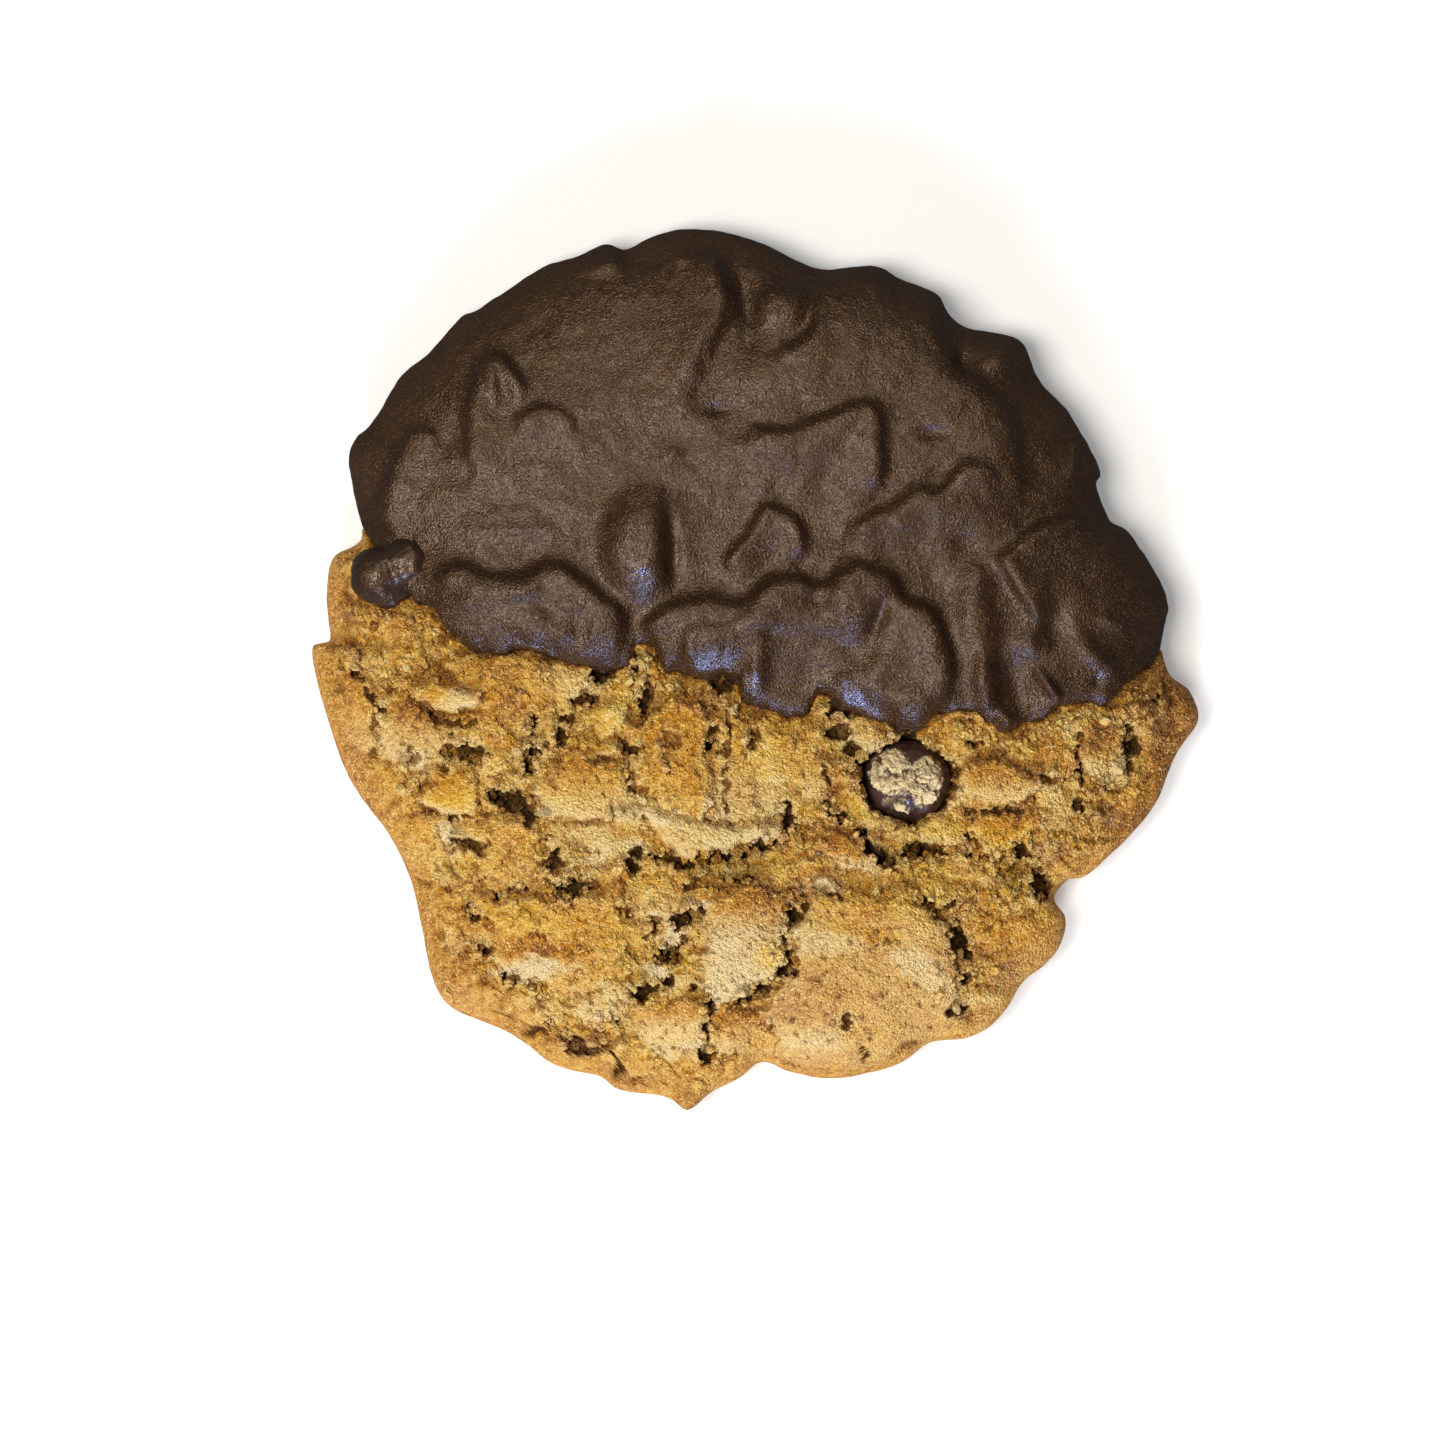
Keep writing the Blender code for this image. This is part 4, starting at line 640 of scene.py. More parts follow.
# Small round lumps: middle, half sizes and turn.
BURIED_CHIP = ((10.75, -15.9, 9.7), (1.5, 0.6, 0.9), -52)
CHOCOLATE_DROP = ((-4.7, -2.9, 10.9), (1.0, 0.6, 0.8), -10)
BARE_SPOT = ((-6.8, 39.05, 3.9), (1.15, 0.45, 0.7), 0)
BARE_SPOT_TONE = {"bake_and_shading": 0.62, "flour": 0.05, "hollow": 0.0, "pit": 0.0, "sleek": 0.3}

# Loose crumbs: how many, smallest and largest half size, and the seed of their draw.
CRUMBS = {
    "fine_crumbs": (5400, (0.12, 0.28), 21),
    "coarse_crumbs": (2400, (0.24, 0.46), 22),
    "crumb_lumps": (420, (0.45, 0.75), 23),
}


# ---- curves, noise and plan shapes


def ease(t):
    """Smooth step: 0 below 0, 1 above 1, level at both ends."""
    t = np.clip(t, 0.0, 1.0)
    return t * t * (3.0 - 2.0 * t)


def spline(points, closed=False, per_span=8):
    """Catmull-Rom curve through points, with per_span steps from each point to the next."""
    knots = np.array(points, dtype=float)
    count = len(knots)
    first = np.arange(count if closed else count - 1)

    def knot(shift):
        """The knots shifted along the list, wrapped round or held at its ends."""
        place = (first + shift) % count if closed else np.clip(first + shift, 0, count - 1)
        return knots[place][:, None]

    before, start, end, after = knot(-1), knot(0), knot(1), knot(2)
    t = (np.arange(per_span) / per_span)[None, :, None]
    curve = 0.5 * (2.0 * start + (end - before) * t
                   + (2.0 * before - 5.0 * start + 4.0 * end - after) * t ** 2
                   + (3.0 * start - before - 3.0 * end + after) * t ** 3)
    curve = curve.reshape(-1, 2)
    return curve if closed else np.vstack([curve, knots[-1:]])


def even_steps(curve, shares):
    """Points of a curve at the given shares of its length."""
    run = np.concatenate([[0.0], np.cumsum(np.hypot(*np.diff(curve, axis=0).T))])
    wanted = np.asarray(shares) * run[-1]
    return np.stack([np.interp(wanted, run, curve[:, k]) for k in (0, 1)], axis=-1)


def right_hand(path):
    """Unit vectors at right angles to a path, on the right hand of the walk."""
    along = np.gradient(path, axis=0)
    along /= np.hypot(along[:, 0], along[:, 1])[:, None]
    return np.stack([along[:, 1], -along[:, 0]], axis=-1)


class Lattice:
    """Repeatable noise: a shuffled table gives every unit cell of space its own number."""

    def __init__(self, seed):
        draw = np.random.default_rng(seed)
        self.order = draw.permutation(256)
        self.spots = draw.random((256, 3))
        slopes = draw.normal(size=(256, 3))
        self.slopes = slopes / np.linalg.norm(slopes, axis=1)[:, None]

    def number(self, cell):
        """The number from 0 to 255 of each cell."""
        x, y, z = (cell[..., k] & 255 for k in range(3))
        return self.order[(self.order[(self.order[x] + y) & 255] + z) & 255]

    def swell(self, points, size):
        """Gradient noise between about -1 and 1, with bumps of about that size."""
        scaled = points / size
        cell = np.floor(scaled).astype(int)
        inside = scaled - cell
        weight = inside ** 3 * (inside * (inside * 6.0 - 15.0) + 10.0)
        total = 0.0
        for corner in itertools.product((0, 1), repeat=3):
            corner = np.array(corner)
            slope = self.slopes[self.number(cell + corner)]
            share = np.where(corner == 1, weight, 1.0 - weight).prod(axis=-1)
            total = total + share * ((inside - corner) * slope).sum(axis=-1)
        return 1.7 * total

    def nearest_grain(self, points, size):
        """Distance in sizes to the two nearest grains, then the nearest one's shade and way."""
        scaled = points / size
        cell = np.floor(scaled).astype(int)
        near = np.full(scaled.shape[:-1], 9.0)
        second = near.copy()
        shade = np.zeros(near.shape)
        way = np.zeros(scaled.shape)
        for offset in itertools.product((-1, 0, 1), repeat=3):
            number = self.number(cell + np.array(offset))
            spot = cell + np.array(offset) + self.spots[number]
            gap = np.sqrt(((scaled - spot) ** 2).sum(axis=-1))
            closer = gap < near
            second = np.where(closer, near, np.minimum(second, gap))
            shade = np.where(closer, self.spots[number][..., 0], shade)
            way = np.where(closer[..., None], spot - scaled, way)
            near = np.where(closer, gap, near)
        return near, second, shade, way * size


NOISE = Lattice(SEED)


def flat_points(x, y):
    """Plan coordinates as points of space, for noise that doesn't change with height."""
    return np.stack([x, y, np.zeros(np.shape(x))], axis=-1)


def turned(x, y, degrees):
    """Plan coordinates turned about the origin."""
    cos_turn, sin_turn = math.cos(math.radians(degrees)), math.sin(math.radians(degrees))
    return x * cos_turn - y * sin_turn, x * sin_turn + y * cos_turn


def ellipse_axes(x, y, ellipse):
    """Coordinates along and across an ellipse from its middle, as shares of its half sizes.

    An ellipse is its middle, half length, half width and turn.
    """
    middle_x, middle_y, half_length, half_width, turn = ellipse
    along, across = turned(x - middle_x, y - middle_y, -turn)
    return along / half_length, across / half_width


def ellipse_share(x, y, ellipse):
    """Distance from an ellipse's middle, as a share of the way to its border."""
    return np.hypot(*ellipse_axes(x, y, ellipse))


def stretch_distance(x, y, start, end):
    """Distance from a straight stretch: from the nearest of its points."""
    (from_x, from_y), (to_x, to_y) = start, end
    run_x, run_y = to_x - from_x, to_y - from_y
    share = ((x - from_x) * run_x + (y - from_y) * run_y) / (run_x ** 2 + run_y ** 2)
    share = np.clip(share, 0.0, 1.0)
    return np.hypot(x - from_x - share * run_x, y - from_y - share * run_y)


def border_depth(x, y, corners):
    """Distance from the border of a polygon, positive inside it."""
    nearest = np.full(np.shape(x), np.inf)
    inside = np.zeros(np.shape(x), bool)
    for start, end in zip(corners, corners[1:] + corners[:1]):
        nearest = np.minimum(nearest, stretch_distance(x, y, start, end))
        (from_x, from_y), (to_x, to_y) = start, end
        if to_y != from_y:
            level = (from_y > y) != (to_y > y)
            inside ^= level & (x < from_x + (y - from_y) * (to_x - from_x) / (to_y - from_y))
    return np.where(inside, nearest, -nearest)


def walk_distance(x, y, points):
    """Distance from a walk, the nearest of the distances from its straight stretches."""
    path = spline(points, per_span=4)
    nearest = np.full(np.shape(x), np.inf)
    for start, end in zip(path[:-1], path[1:]):
        nearest = np.minimum(nearest, stretch_distance(x, y, start, end))
    return nearest


# ---- the body that the skins follow


class Rim:
    """The outline as a distance from the origin for each bearing, sharp and softened."""

    SOFT_ARC = 20.0

    def __init__(self):
        curve = spline(OUTLINE, closed=True)
        bearing = np.arctan2(curve[:, 1], curve[:, 0])
        order = np.argsort(bearing)
        self.bearing = bearing[order]
        self.reach = np.hypot(curve[:, 0], curve[:, 1])[order]
        self.ring = np.radians(np.arange(-180.0, 180.0))
        arc = np.radians(np.linspace(-self.SOFT_ARC, self.SOFT_ARC, 41))
        self.soft = self.sharp(self.ring[:, None] + arc[None, :]).mean(axis=1)

    def sharp(self, bearing):
        """Distance of the outline itself."""
        return np.interp(bearing, self.bearing, self.reach, period=2.0 * math.pi)

    def reach_at(self, bearing, share):
        """Distance that a share of 1 stands for: soft near the middle, sharp at the rim."""
        soft = np.interp(bearing, self.ring, self.soft, period=2.0 * math.pi)
        return soft + (self.sharp(bearing) - soft) * share ** 4

    def to_disc(self, points):
        """Points on the table as points of the unit disc."""
        bearing = np.arctan2(points[..., 1], points[..., 0])
        distance = np.hypot(points[..., 0], points[..., 1])
        share = distance / self.sharp(bearing)
        for _ in range(12):
            share = np.clip(distance / self.reach_at(bearing, np.clip(share, 0.0, 1.0)), 0.0, 1.0)
        return np.stack([share * np.cos(bearing), share * np.sin(bearing)], axis=-1)

    def to_table(self, disc, inset):
        """Points of the unit disc on the table, with the outline drawn in by inset."""
        bearing = np.arctan2(disc[..., 1], disc[..., 0])
        share = np.clip(np.hypot(disc[..., 0], disc[..., 1]), 0.0, 1.0)
        distance = share * (self.reach_at(bearing, share) - inset)
        return distance * np.cos(bearing), distance * np.sin(bearing), share


RIM = Rim()


def dome_height(share, inset):
    """The upper skin without its relief: a flattened dome over the widest level of the edge."""
    return EDGE_HEIGHT + (CROWN - inset) * np.sqrt(1.0 - share ** CROWN_FLATNESS)


def under_height(share, inset):
    """The underside: flat on the table, then a quarter round up to the widest level."""
    turn_up = np.clip((share - FOOT_START) / (1.0 - FOOT_START), 0.0, 1.0)
    return inset + (EDGE_HEIGHT - inset) * (1.0 - np.sqrt(1.0 - turn_up ** 2))


class Cuts:
    """Cross-cuts on one side of the dip line, from the line itself to a point on the rim.

    side is 1 for the dipped side and -1 for the bare one.
    """

    LINE_POINTS = 901
    RUN_POINTS = 600
    CURVE_POINTS = 500

    def __init__(self, side):
        shares = np.linspace(0.0, 1.0, self.LINE_POINTS)
        line = even_steps(spline(DIP_LINE), shares)
        flat = flat_points(line[:, 0], line[:, 1])
        ragged = 0.36 * NOISE.swell(flat, 1.8) + 0.24 * NOISE.swell(flat + 31.0, 0.75)
        line[:, 1] += ragged * ease(shares / 0.06) * ease((1.0 - shares) / 0.04)
        self.line = RIM.to_disc(line)
        for end in (0, -1):
            self.line[end] /= np.hypot(*self.line[end])
        self.left = math.atan2(self.line[0][1], self.line[0][0]) % (2.0 * math.pi)
        self.right = math.atan2(self.line[-1][1], self.line[-1][0])
        self.left_goal = math.radians(90.0 if side > 0 else 270.0)
        self.right_goal = math.radians(90.0 if side > 0 else -90.0)
        steps = np.linspace(0.0, 1.0, self.RUN_POINTS)
        disc = self.disc(steps[:, None], np.full((self.RUN_POINTS, 1), 0.5))
        x, y, share = RIM.to_table(disc, 0.0)
        path = np.concatenate([x, y, dome_height(share, 0.0)], axis=1)
        self.steps = steps
        self.run = np.concatenate([[0.0], np.cumsum(np.linalg.norm(np.diff(path, axis=0), axis=1))])

    def chord(self, step, shares):
        """Straight cut of the disc, its ends moved along the rim towards the final point."""
        left = self.left + (self.left_goal - self.left) * step
        right = self.right + (self.right_goal - self.right) * step
        start = np.stack([np.cos(left), np.sin(left)], axis=-1)
        end = np.stack([np.cos(right), np.sin(right)], axis=-1)
        return start + (end - start) * shares[..., None]

    def disc(self, step, shares):
        """Points of the disc on cuts: the dip line's own bends fade out from cut to cut."""
        bend = even_steps(self.line, shares) - self.chord(np.zeros_like(step), shares)
        return self.chord(step, shares) + ((1.0 - step) ** 2)[..., None] * bend

    def step_at(self, distance):
        """The step of the cut that lies that far from the dip line, over the dome's middle."""
        return np.interp(distance, self.run, self.steps)

    def grid(self, distances, inset):
        """Cuts at those distances: plan place, share, base point and where each point belongs.

        Columns are spread evenly over the dome's own curve, then back along the underside.
        inset is a function of the distance and the share that says how far the skin is drawn in.
        """
        step = self.step_at(distances)[:, None]
        close = 0.5 * (1.0 - np.cos(math.pi * np.linspace(0.0, 1.0, self.CURVE_POINTS)))
        close = np.broadcast_to(close, (len(step), self.CURVE_POINTS))
        x, y, share = RIM.to_table(self.disc(step, close), 0.0)
        path = np.stack([x, y, dome_height(share, 0.0)], axis=-1)
        gaps = np.linalg.norm(np.diff(path, axis=1), axis=2)
        run = np.concatenate([np.zeros((len(step), 1)), np.cumsum(gaps, axis=1)], axis=1)
        wanted = np.linspace(0.0, 1.0, TOP_POINTS)
        over = np.array([np.interp(wanted * row[-1], row, shares)
                         for row, shares in zip(run, close)])
        back = 0.5 * (1.0 + np.cos(math.pi * np.linspace(0.0, 1.0, UNDER_POINTS + 2)[1:-1]))
        back = np.broadcast_to(back, (len(step), UNDER_POINTS))
        shares = np.concatenate([over, back], axis=1)
        under = np.zeros(shares.shape, bool)
        under[:, TOP_POINTS:] = True
        disc = self.disc(step, shares)
        past = np.broadcast_to(np.asarray(distances)[:, None], shares.shape)
        drawn_in = inset(past, np.hypot(disc[..., 0], disc[..., 1]))
        x, y, share = RIM.to_table(disc, drawn_in)
        z = np.where(under, under_height(share, drawn_in), dome_height(share, drawn_in))
        return {"x": x, "y": y, "z": z, "share": share, "under": under, "past": past}

    def tip(self, inset):
        """The point on the rim where the cross-cuts end."""
        disc = np.array([math.cos(self.right_goal), math.sin(self.right_goal)])
        x, y, _ = RIM.to_table(disc, inset)
        return np.array([x, y, EDGE_HEIGHT])


def loop_normals(points):
    """Outward unit normals of a stack of closed loops, from the cross product of its two runs."""
    along = np.roll(points, -1, axis=1) - np.roll(points, 1, axis=1)
    onward = np.gradient(points, axis=0)
    normal = np.cross(along, onward)
    normal /= np.linalg.norm(normal, axis=2)[..., None] + 1e-12
    middle = points.mean(axis=(0, 1))
    if ((points - middle) * normal).sum() < 0.0:
        normal = -normal
    return normal


# ---- meshes


def loop_faces(rows, columns):
    """Quads between the loops of a stack, then the triangles round its first and last tip."""
    here = np.arange(columns)
    after = (here + 1) % columns
    near = 1 + columns * np.arange(rows - 1)[:, None]
    far = near + columns
    quads = np.stack([near + here, far + here, far + after, near + after], axis=-1).reshape(-1, 4)
    start = np.stack([np.zeros(columns, int), 1 + here, 1 + after], axis=-1)
    end_row = 1 + columns * (rows - 1)
    end = np.stack([end_row + here, np.full(columns, end_row + columns), end_row + after], axis=-1)
    return quads, np.vstack([start, end])


def outward(points, quads, fans):
    """The faces, turned round if the volume inside them comes out negative."""
    triangles = np.vstack([quads[:, [0, 1, 2]], quads[:, [0, 2, 3]], fans])
    a, b, c = (points[triangles[:, k]] for k in range(3))
    if np.einsum("ij,ij->i", a, np.cross(b, c)).sum() < 0.0:
        return quads[:, ::-1], fans[:, ::-1]
    return quads, fans


def add_piece(name, points, faces, material, values=None, smooth=True):
    """A mesh object in metres, with a number for each point under each value's name."""
    mesh = bpy.data.meshes.new(name)
    mesh.from_pydata((points * MM).tolist(), [], faces)
    mesh.validate()
    if smooth:
        mesh.shade_smooth()
    for label, numbers in (values or {}).items():
        attribute = mesh.attributes.new(label, "FLOAT", "POINT")
        attribute.data.foreach_set("value", np.ascontiguousarray(numbers, dtype=np.float32).ravel())
    mesh.materials.append(material)
    piece = bpy.data.objects.new(name, mesh)
    bpy.context.scene.collection.objects.link(piece)
    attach(piece, "root")
    return piece


def add_stack(name, first_tip, loops, last_tip, material, values=None):
    """A closed piece from a tip through a stack of loops to another tip."""
    rows, columns = loops.shape[:2]
    points = np.vstack([first_tip[None], loops.reshape(-1, 3), last_tip[None]])
    quads, fans = outward(points, *loop_faces(rows, columns))
    whole = {}
    for label, numbers in (values or {}).items():
        whole[label] = np.concatenate([numbers[0, :1], numbers.ravel(), numbers[-1, -1:]])
    return add_piece(name, points, quads.tolist() + fans.tolist(), material, whole)


# ---- crust


def broken(x, y, push, chunks):
    """Plan coordinates in which every edge is ragged.

    Noise pushes them about, then they draw towards the middles of small cells, so that an edge
    drawn in them breaks off in chunks along the borders of the cells. chunks holds the size of
    the cells and the share of the way to their middles.
    """
    flat = flat_points(x, y)
    shift_x = push * NOISE.swell(flat + 11.0, 3.0) + 0.16 * NOISE.swell(flat + 47.0, 0.9)
    shift_y = push * NOISE.swell(flat + 83.0, 3.0) + 0.16 * NOISE.swell(flat + 19.0, 0.9)
    for size, pull in chunks:
        _, _, _, way = NOISE.nearest_grain(flat + 100.0 * size, size)
        shift_x = shift_x + pull * way[..., 0]
        shift_y = shift_y + pull * way[..., 1]
    return x + shift_x, y + shift_y


def crust_floor(x, y):
    """The low ground between the slabs: a slow swell with lumps of about 2 mm and 1 mm."""
    flat = flat_points(x, y)
    near, _, level, _ = NOISE.nearest_grain(flat, 2.3)
    small, _, small_level, _ = NOISE.nearest_grain(flat + 7.0, 1.0)
    lumps = (0.4 + 0.6 * level) * (1.0 - near ** 2)
    lumps = lumps + (0.1 + 0.5 * small_level) * (1.0 - small ** 2)
    return 0.40 * NOISE.swell(flat, 6.0) + lumps - CRUST_DROP + 0.42


def chunks(points, size):
    """Height of broken crumb: each cell of that size has its own level, tilt and creased edge."""
    near, second, shade, way = NOISE.nearest_grain(points, size)
    turn = 17.0 * shade
    tilt = way[..., 0] * np.cos(turn) + way[..., 1] * np.sin(turn)
    crease = ease(1.0 - (second - near) / 0.18)
    return size * (0.34 * (shade - 0.5) - 0.20 * crease) + 0.50 * tilt


class BareCrust:
    """Relief and tone of the bare crust, built up piece by piece over its floor.

    height is measured from the dome, brow is how high the piece at each place stands, sleek how
    smooth it is, sunk how deep a hole or crack goes, and tone its bake, flour and painted shade.
    Bake and flour also take some painted light and shade, on slabs' south lips and nubs' north sides.
    """

    def __init__(self, x, y):
        self.x, self.y = x, y
        self.ragged_x, self.ragged_y = broken(x, y, *SLAB_BREAKS)
        self.floor = crust_floor(x, y)
        self.border_swing = NOISE.swell(flat_points(x, y) + 91.0, 4.0)
        self.height = self.floor.copy()
        self.brow, self.sleek, self.sunk = (np.zeros(x.shape) for _ in range(3))
        self.tone = [np.full(x.shape, value) for value in TONES["crumb"]]

    def lay(self, top, edge, brow, tone, sleek=None):
        """A piece laid over the crust where it stands higher, with its tone inside its edge."""
        risen = self.floor + (np.maximum(top, self.floor) - self.floor) * edge
        wins = risen > self.height
        tinted = wins & (edge > TINTED_FROM)
        self.height = np.where(wins, risen, self.height)
        self.brow = np.where(wins, brow, self.brow)
        self.tone = [np.where(tinted, new, old) for new, old in zip(tone, self.tone)]
        if sleek is not None:
            self.sleek = np.where(tinted, sleek, self.sleek)

    def add_slab(self, slab, slant):
        """A slab: its north end grows slowly out of the crust, its south end breaks off."""
        lift, fall, head, foot, smooth, corners = slab
        part = 1.0 - SMOOTH_EDGE * smooth
        slab_x = self.x + (self.ragged_x - self.x) * part
        slab_y = self.y + (self.ragged_y - self.y) * part
        inside = border_depth(slab_x, slab_y, corners)
        levels = [y for _, y in corners]
        down = np.clip((max(levels) - self.y) / (max(levels) - min(levels)), 0.0, 1.0)
        grown = np.clip(0.75 - 1.5 * down + 0.8 * self.border_swing, 0.0, 1.0)
        edge = ease(inside / (EDGE_WIDTH[0] + EDGE_WIDTH[1] * grown) + 0.45)
        top = lift - CRUST_DROP - 0.1 - fall * down + slant * (self.x - corners[0][0])
        top = top - WORN_BORDER[0] * np.exp(-np.clip(inside, 0.0, 9.0) / WORN_BORDER[1])
        # The pale south lip: partly pale broken crumb and partly painted light on the edge that faces
        # the light.
        lip = np.exp(-np.clip(inside, 0.0, 9.0) / SOUTH_LIP_WIDTH) * ease(1.6 * down - 0.5)
        mixed = ease(1.25 * down - 0.1)
        tone = [head_value + (foot_value - head_value) * mixed + lip_value * lip
                for head_value, foot_value, lip_value in zip(TONES[head], TONES[foot], SOUTH_LIP)]
        self.lay(top, edge, ease(inside / BROW_WIDTH) * lift, tone, min(smooth + 0.2, 1.0))

    def add_nub(self, nub, slant, shade):
        """A nub: a rounded square, lower towards its sides, a little browner on its north side."""
        *ellipse, lift, tone = nub
        _, middle_y, half_length, half_width, _ = ellipse
        along, across = ellipse_axes(self.ragged_x, self.ragged_y, ellipse)
        share = np.abs(along) ** NUB_SQUARENESS + np.abs(across) ** NUB_SQUARENESS
        share = share ** (1.0 / NUB_SQUARENESS)
        inside = (1.0 - share) * min(half_length, half_width) + 0.35
        top = lift * (1.0 - 0.14 * np.clip(share, 0.0, 1.2) ** 2)
        top = top + slant[0] * half_length * along + slant[1] * half_width * across - 0.2
        # Browner to the north: partly baked colour and partly painted shade on the side away from the
        # light.
        northward = np.clip((self.y - middle_y) / max(half_width, 1.5), -1.0, 1.0)
        shifts = (shade + 0.13 * northward - 0.06 * share, -0.12 * northward, 0.0)
        tones = [value + shift for value, shift in zip(TONES[tone], shifts)]
        edge = ease(inside / 0.7 + 0.5)
        self.lay(-CRUST_DROP + top, edge, ease(inside / BROW_WIDTH) * lift, tones)

    def soften(self):
        """Softened tones with slow swells, and blisters on the pieces that aren't smooth."""
        flat = flat_points(self.x, self.y)
        bake_and_shading, flour, gloom = (blurred(part, 3) for part in self.tone)
        bake_and_shading = bake_and_shading + 0.14 * NOISE.swell(flat + 23.0, 5.0)
        flour = flour * 0.85 + 0.08 * NOISE.swell(flat + 61.0, 3.4)
        self.tone = [bake_and_shading, flour, gloom]
        self.sleek = blurred(self.sleek, 2)
        blister = 0.22 * NOISE.swell(flat + 37.0, 2.6) + 0.12 * NOISE.swell(flat + 53.0, 1.2)
        self.height = self.height + blister * ease(self.brow) * (1.0 - 0.6 * self.sleek)

    def sink(self, wall, depth, full_depth):
        """A hole or crack: the height less its depth, and how sunk it counts, 1 at full_depth."""
        self.height = self.height - depth * wall
        self.sunk = np.maximum(self.sunk, wall * min(depth / full_depth, 1.0))


def crust_surface(x, y):
    """The bare crust: slabs and nubs, then the chip's pocket, patches, holes and cracks."""
    crust = BareCrust(x, y)
    draw = np.random.default_rng(SEED)
    for slab in SLABS.values():
        crust.add_slab(slab, draw.normal(0.0, SLAB_SLANT))
    for nub in CRAGS.values():
        crust.add_nub(nub, draw.normal(0.0, NUB_SLANT, 2), draw.normal(0.0, NUB_SLANT))
    crust.soften()
    ragged_x, ragged_y = broken(x, y, *HOLE_BREAKS)
    pocket = ease((1.06 - ellipse_share(ragged_x, ragged_y, CHIP_POCKET)) / 0.12)
    crust.height = crust.height - POCKET_DEPTH * pocket
    for *ellipse, tone, strength in PATCHES.values():
        mask = strength * ease(1.6 - ellipse_share(ragged_x, ragged_y, ellipse))
        for part, value in zip(crust.tone, TONES[tone]):
            part += (value - part) * mask
    for *ellipse, depth in HOLES.values():
        crust.sink(ease((1.25 - ellipse_share(ragged_x, ragged_y, ellipse)) / 0.55), depth, 1.5)
    width_swing = 1.0 + 0.5 * NOISE.swell(flat_points(x, y) + 5.0, 1.4)
    for points, half_width, depth in CRACKS.values():
        gap = walk_distance(ragged_x, ragged_y, points)
        crust.sink(ease(1.35 - gap / (half_width * width_swing)), depth, 1.4)
    return crust


def blurred(values, reach):
    """Mean over a square of points either side, taken along rows and then along columns."""
    window = 2 * reach + 1
    for _ in range(2):
        sums = np.cumsum(np.pad(values, ((reach, reach), (0, 0)), "edge"), axis=0)
        sums = np.pad(sums, ((1, 0), (0, 0)))
        values = ((sums[window:] - sums[:-window]) / window).T
    return values


def crust_inset(past, _share):
    """How far the crust is drawn in: nothing at the dip line, then down under the chocolate."""
    return CORE_INSET * ease((past - 0.35) / 1.3)


def crust_grid():
    """The crust's loops from its bottom tip, over the bare part and the dip line, into the core."""
    bare = Cuts(side=-1)
    hidden = Cuts(side=1)
    length = bare.run[-1]
    south = length * (1.0 - np.linspace(0.0, 1.0, CRUST_CUTS + 1)[1:])
    grid = bare.grid(south, lambda past, share: np.zeros_like(share))
    grid["past"] = -grid["past"]
    core = np.linspace(3.0, 0.97 * hidden.run[-1], 8)
    shoulder = np.concatenate([np.linspace(0.15, 1.8, 9), core])
    beyond = hidden.grid(shoulder, crust_inset)
    whole = {key: np.concatenate([grid[key], beyond[key]]) for key in grid}
    return whole, bare.tip(0.0), hidden.tip(CORE_INSET)


def crust_grain(points, slab, sleek):
    """Height of the crust's grain, how crumbly each place is, and the shade of its fine grains."""
    crumbly = ease(0.6 + 0.9 * NOISE.swell(points + 71.0, 4.0)) * (1.0 - 0.3 * slab) * (1.0 - sleek)
    (coarse_height, coarse_size), (fine_height, fine_size) = CRUMB_CHUNKS
    grain = coarse_height * chunks(points, coarse_size)
    grain = (grain + fine_height * chunks(points + 41.0, fine_size)) * crumbly
    near, _, shade, _ = NOISE.nearest_grain(points + 13.0, GRAINS[1])
    grain = grain + GRAINS[0] * (0.5 - near) * (1.0 - 0.85 * sleek)
    return grain + 0.09 * NOISE.swell(points + 29.0, 1.9), crumbly, shade


